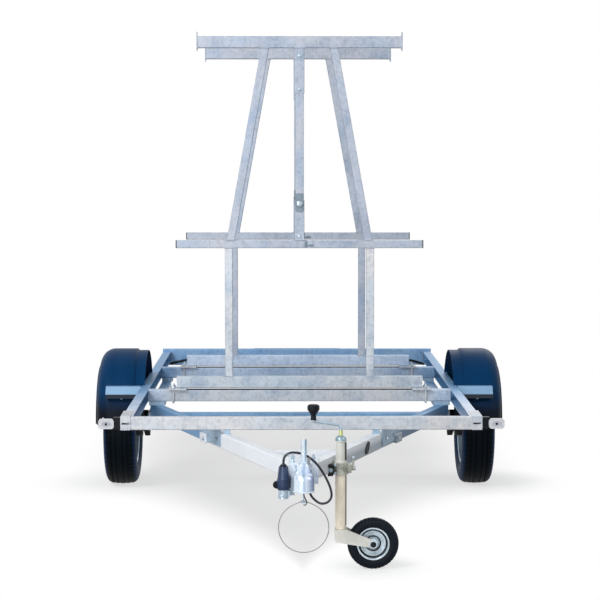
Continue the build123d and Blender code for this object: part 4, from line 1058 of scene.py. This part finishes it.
turned("plate_screws", "zinc", *(((x, REAR_Y + 0.0137, REAR_Z), Y, screw, 20) for x in (-0.205, 0.205)))

# ---- floor: white, with a painted shadow greying a patch under the trailer, and darker beside the wheels
floor_mesh = bpy.data.meshes.new("floor")
floor_mesh.from_pydata([(-40, -14, 0), (40, -14, 0), (40, 60, 0), (-40, 60, 0)], [], [(0, 1, 2, 3)])
floor = add("floor", floor_mesh)
g = Graph("floor")
calc = g.calc
# painted shadow: a grey patch shaped like the trailer's plan
PATCH_START, PATCH_GROWTH, PATCH_HALF, PATCH_REACH = -0.8, 1.84, 0.97, 1.25
ahead = calc("SUBTRACT", g.axis(1), FRONT_Y)
spread = calc("MAXIMUM", calc("DIVIDE", calc("SUBTRACT", ahead, PATCH_START), PATCH_GROWTH), 0.001)
reach = calc("MINIMUM", spread, PATCH_REACH)
half_width = calc("MAXIMUM", calc("MULTIPLY", calc("POWER", reach, 1.5), PATCH_HALF), 0.001)
off = calc("DIVIDE", g.size(g.axis(0)), half_width)
inside = calc("SUBTRACT", 1, g.soft(off, calc("MULTIPLY", reach, 0.35), 1))
inside = calc("MULTIPLY", inside, calc("SUBTRACT", 1, g.soft(ahead, 3.3, 4.2)))
inside = calc("MULTIPLY", inside, g.soft(ahead, PATCH_START, -0.3))
g.set(Base_Color=g.cloudy(g.noise(0.6, 2), (0.8, 0.8, 0.8), (0.82, 0.82, 0.82)), Roughness=0.95,
      Specular_IOR_Level=0)


def contact(x, y, near, wide):
    """1 beside a tyre's contact point, fading out around it."""
    n = g.node("VectorMath", operation="DISTANCE")
    away = g.in_order(n, ((0, g.coord), (1, (x, y, 0))), "Value")
    return calc("SUBTRACT", 1, g.soft(away, near, wide))


beside_road = calc("MAXIMUM", *(contact(side * WHEEL_X, WHEEL_Y, 0.15, 0.55) for side in (-1, 1)))
beside_tyre = calc("MAXIMUM", contact(HUB_X, JOCK_Y, 0.1, 0.34), beside_road)
glow = g.shader("Emission", WHITE, Strength=1)
painted_shadow_grey = g.shader("Emission", WHITE, Strength=0.79)
dull = g.shader("BsdfDiffuse", (0.3, 0.3, 0.31, 1))
around = g.blend(calc("MULTIPLY", beside_tyre, 0.38), glow, g.shader("BsdfDiffuse", WHITE))
# painted shadow: the patch is mostly grey glow, with a little lit floor for real shadows
patch = g.blend(0.17, painted_shadow_grey, g.bsdf.outputs[0])
top = g.blend(g.seen(), dull, g.blend(inside, around, patch))
g.feed(g.tree.nodes["Material Output"].inputs["Surface"], top)
floor_mesh.materials.append(g.mat)

# ---- world: white where it is seen, dimmer where it only lights
scene.world = bpy.data.worlds.new("studio")
scene.world.use_nodes = True
sky = Nodes(scene.world.node_tree)
dim = sky.tree.nodes["Background"]
dim.inputs["Color"].default_value = (0.93, 0.96, 1, 1)
dim.inputs["Strength"].default_value = 0.28
shown = sky.blend(sky.seen(), dim.outputs[0], sky.shader("Background", WHITE, Strength=1))
sky.feed(sky.tree.nodes["World Output"].inputs["Surface"], shown)

# ---- lamps: name, place, height of the point they aim at, size and power
for name, place, aim, size, power in (("key", (-6, -7, 8.5), 0.8, 5, 980),
                                      ("front", (-3, -9, 2), 0.7, 4, 320),
                                      ("fill", (6, -4, 4), 0.8, 5, 130),
                                      ("back", (3, 9, 5), 0.8, 5, 120)):
    data = bpy.data.lights.new(name, "AREA")
    data.shape = "DISK"
    data.size = size
    data.energy = power
    obj = add(name, data)
    obj.location = place
    obj.rotation_mode = "QUATERNION"
    obj.rotation_quaternion = (Vector((0, 0, aim)) - Vector(place)).to_track_quat("-Z", "Y")
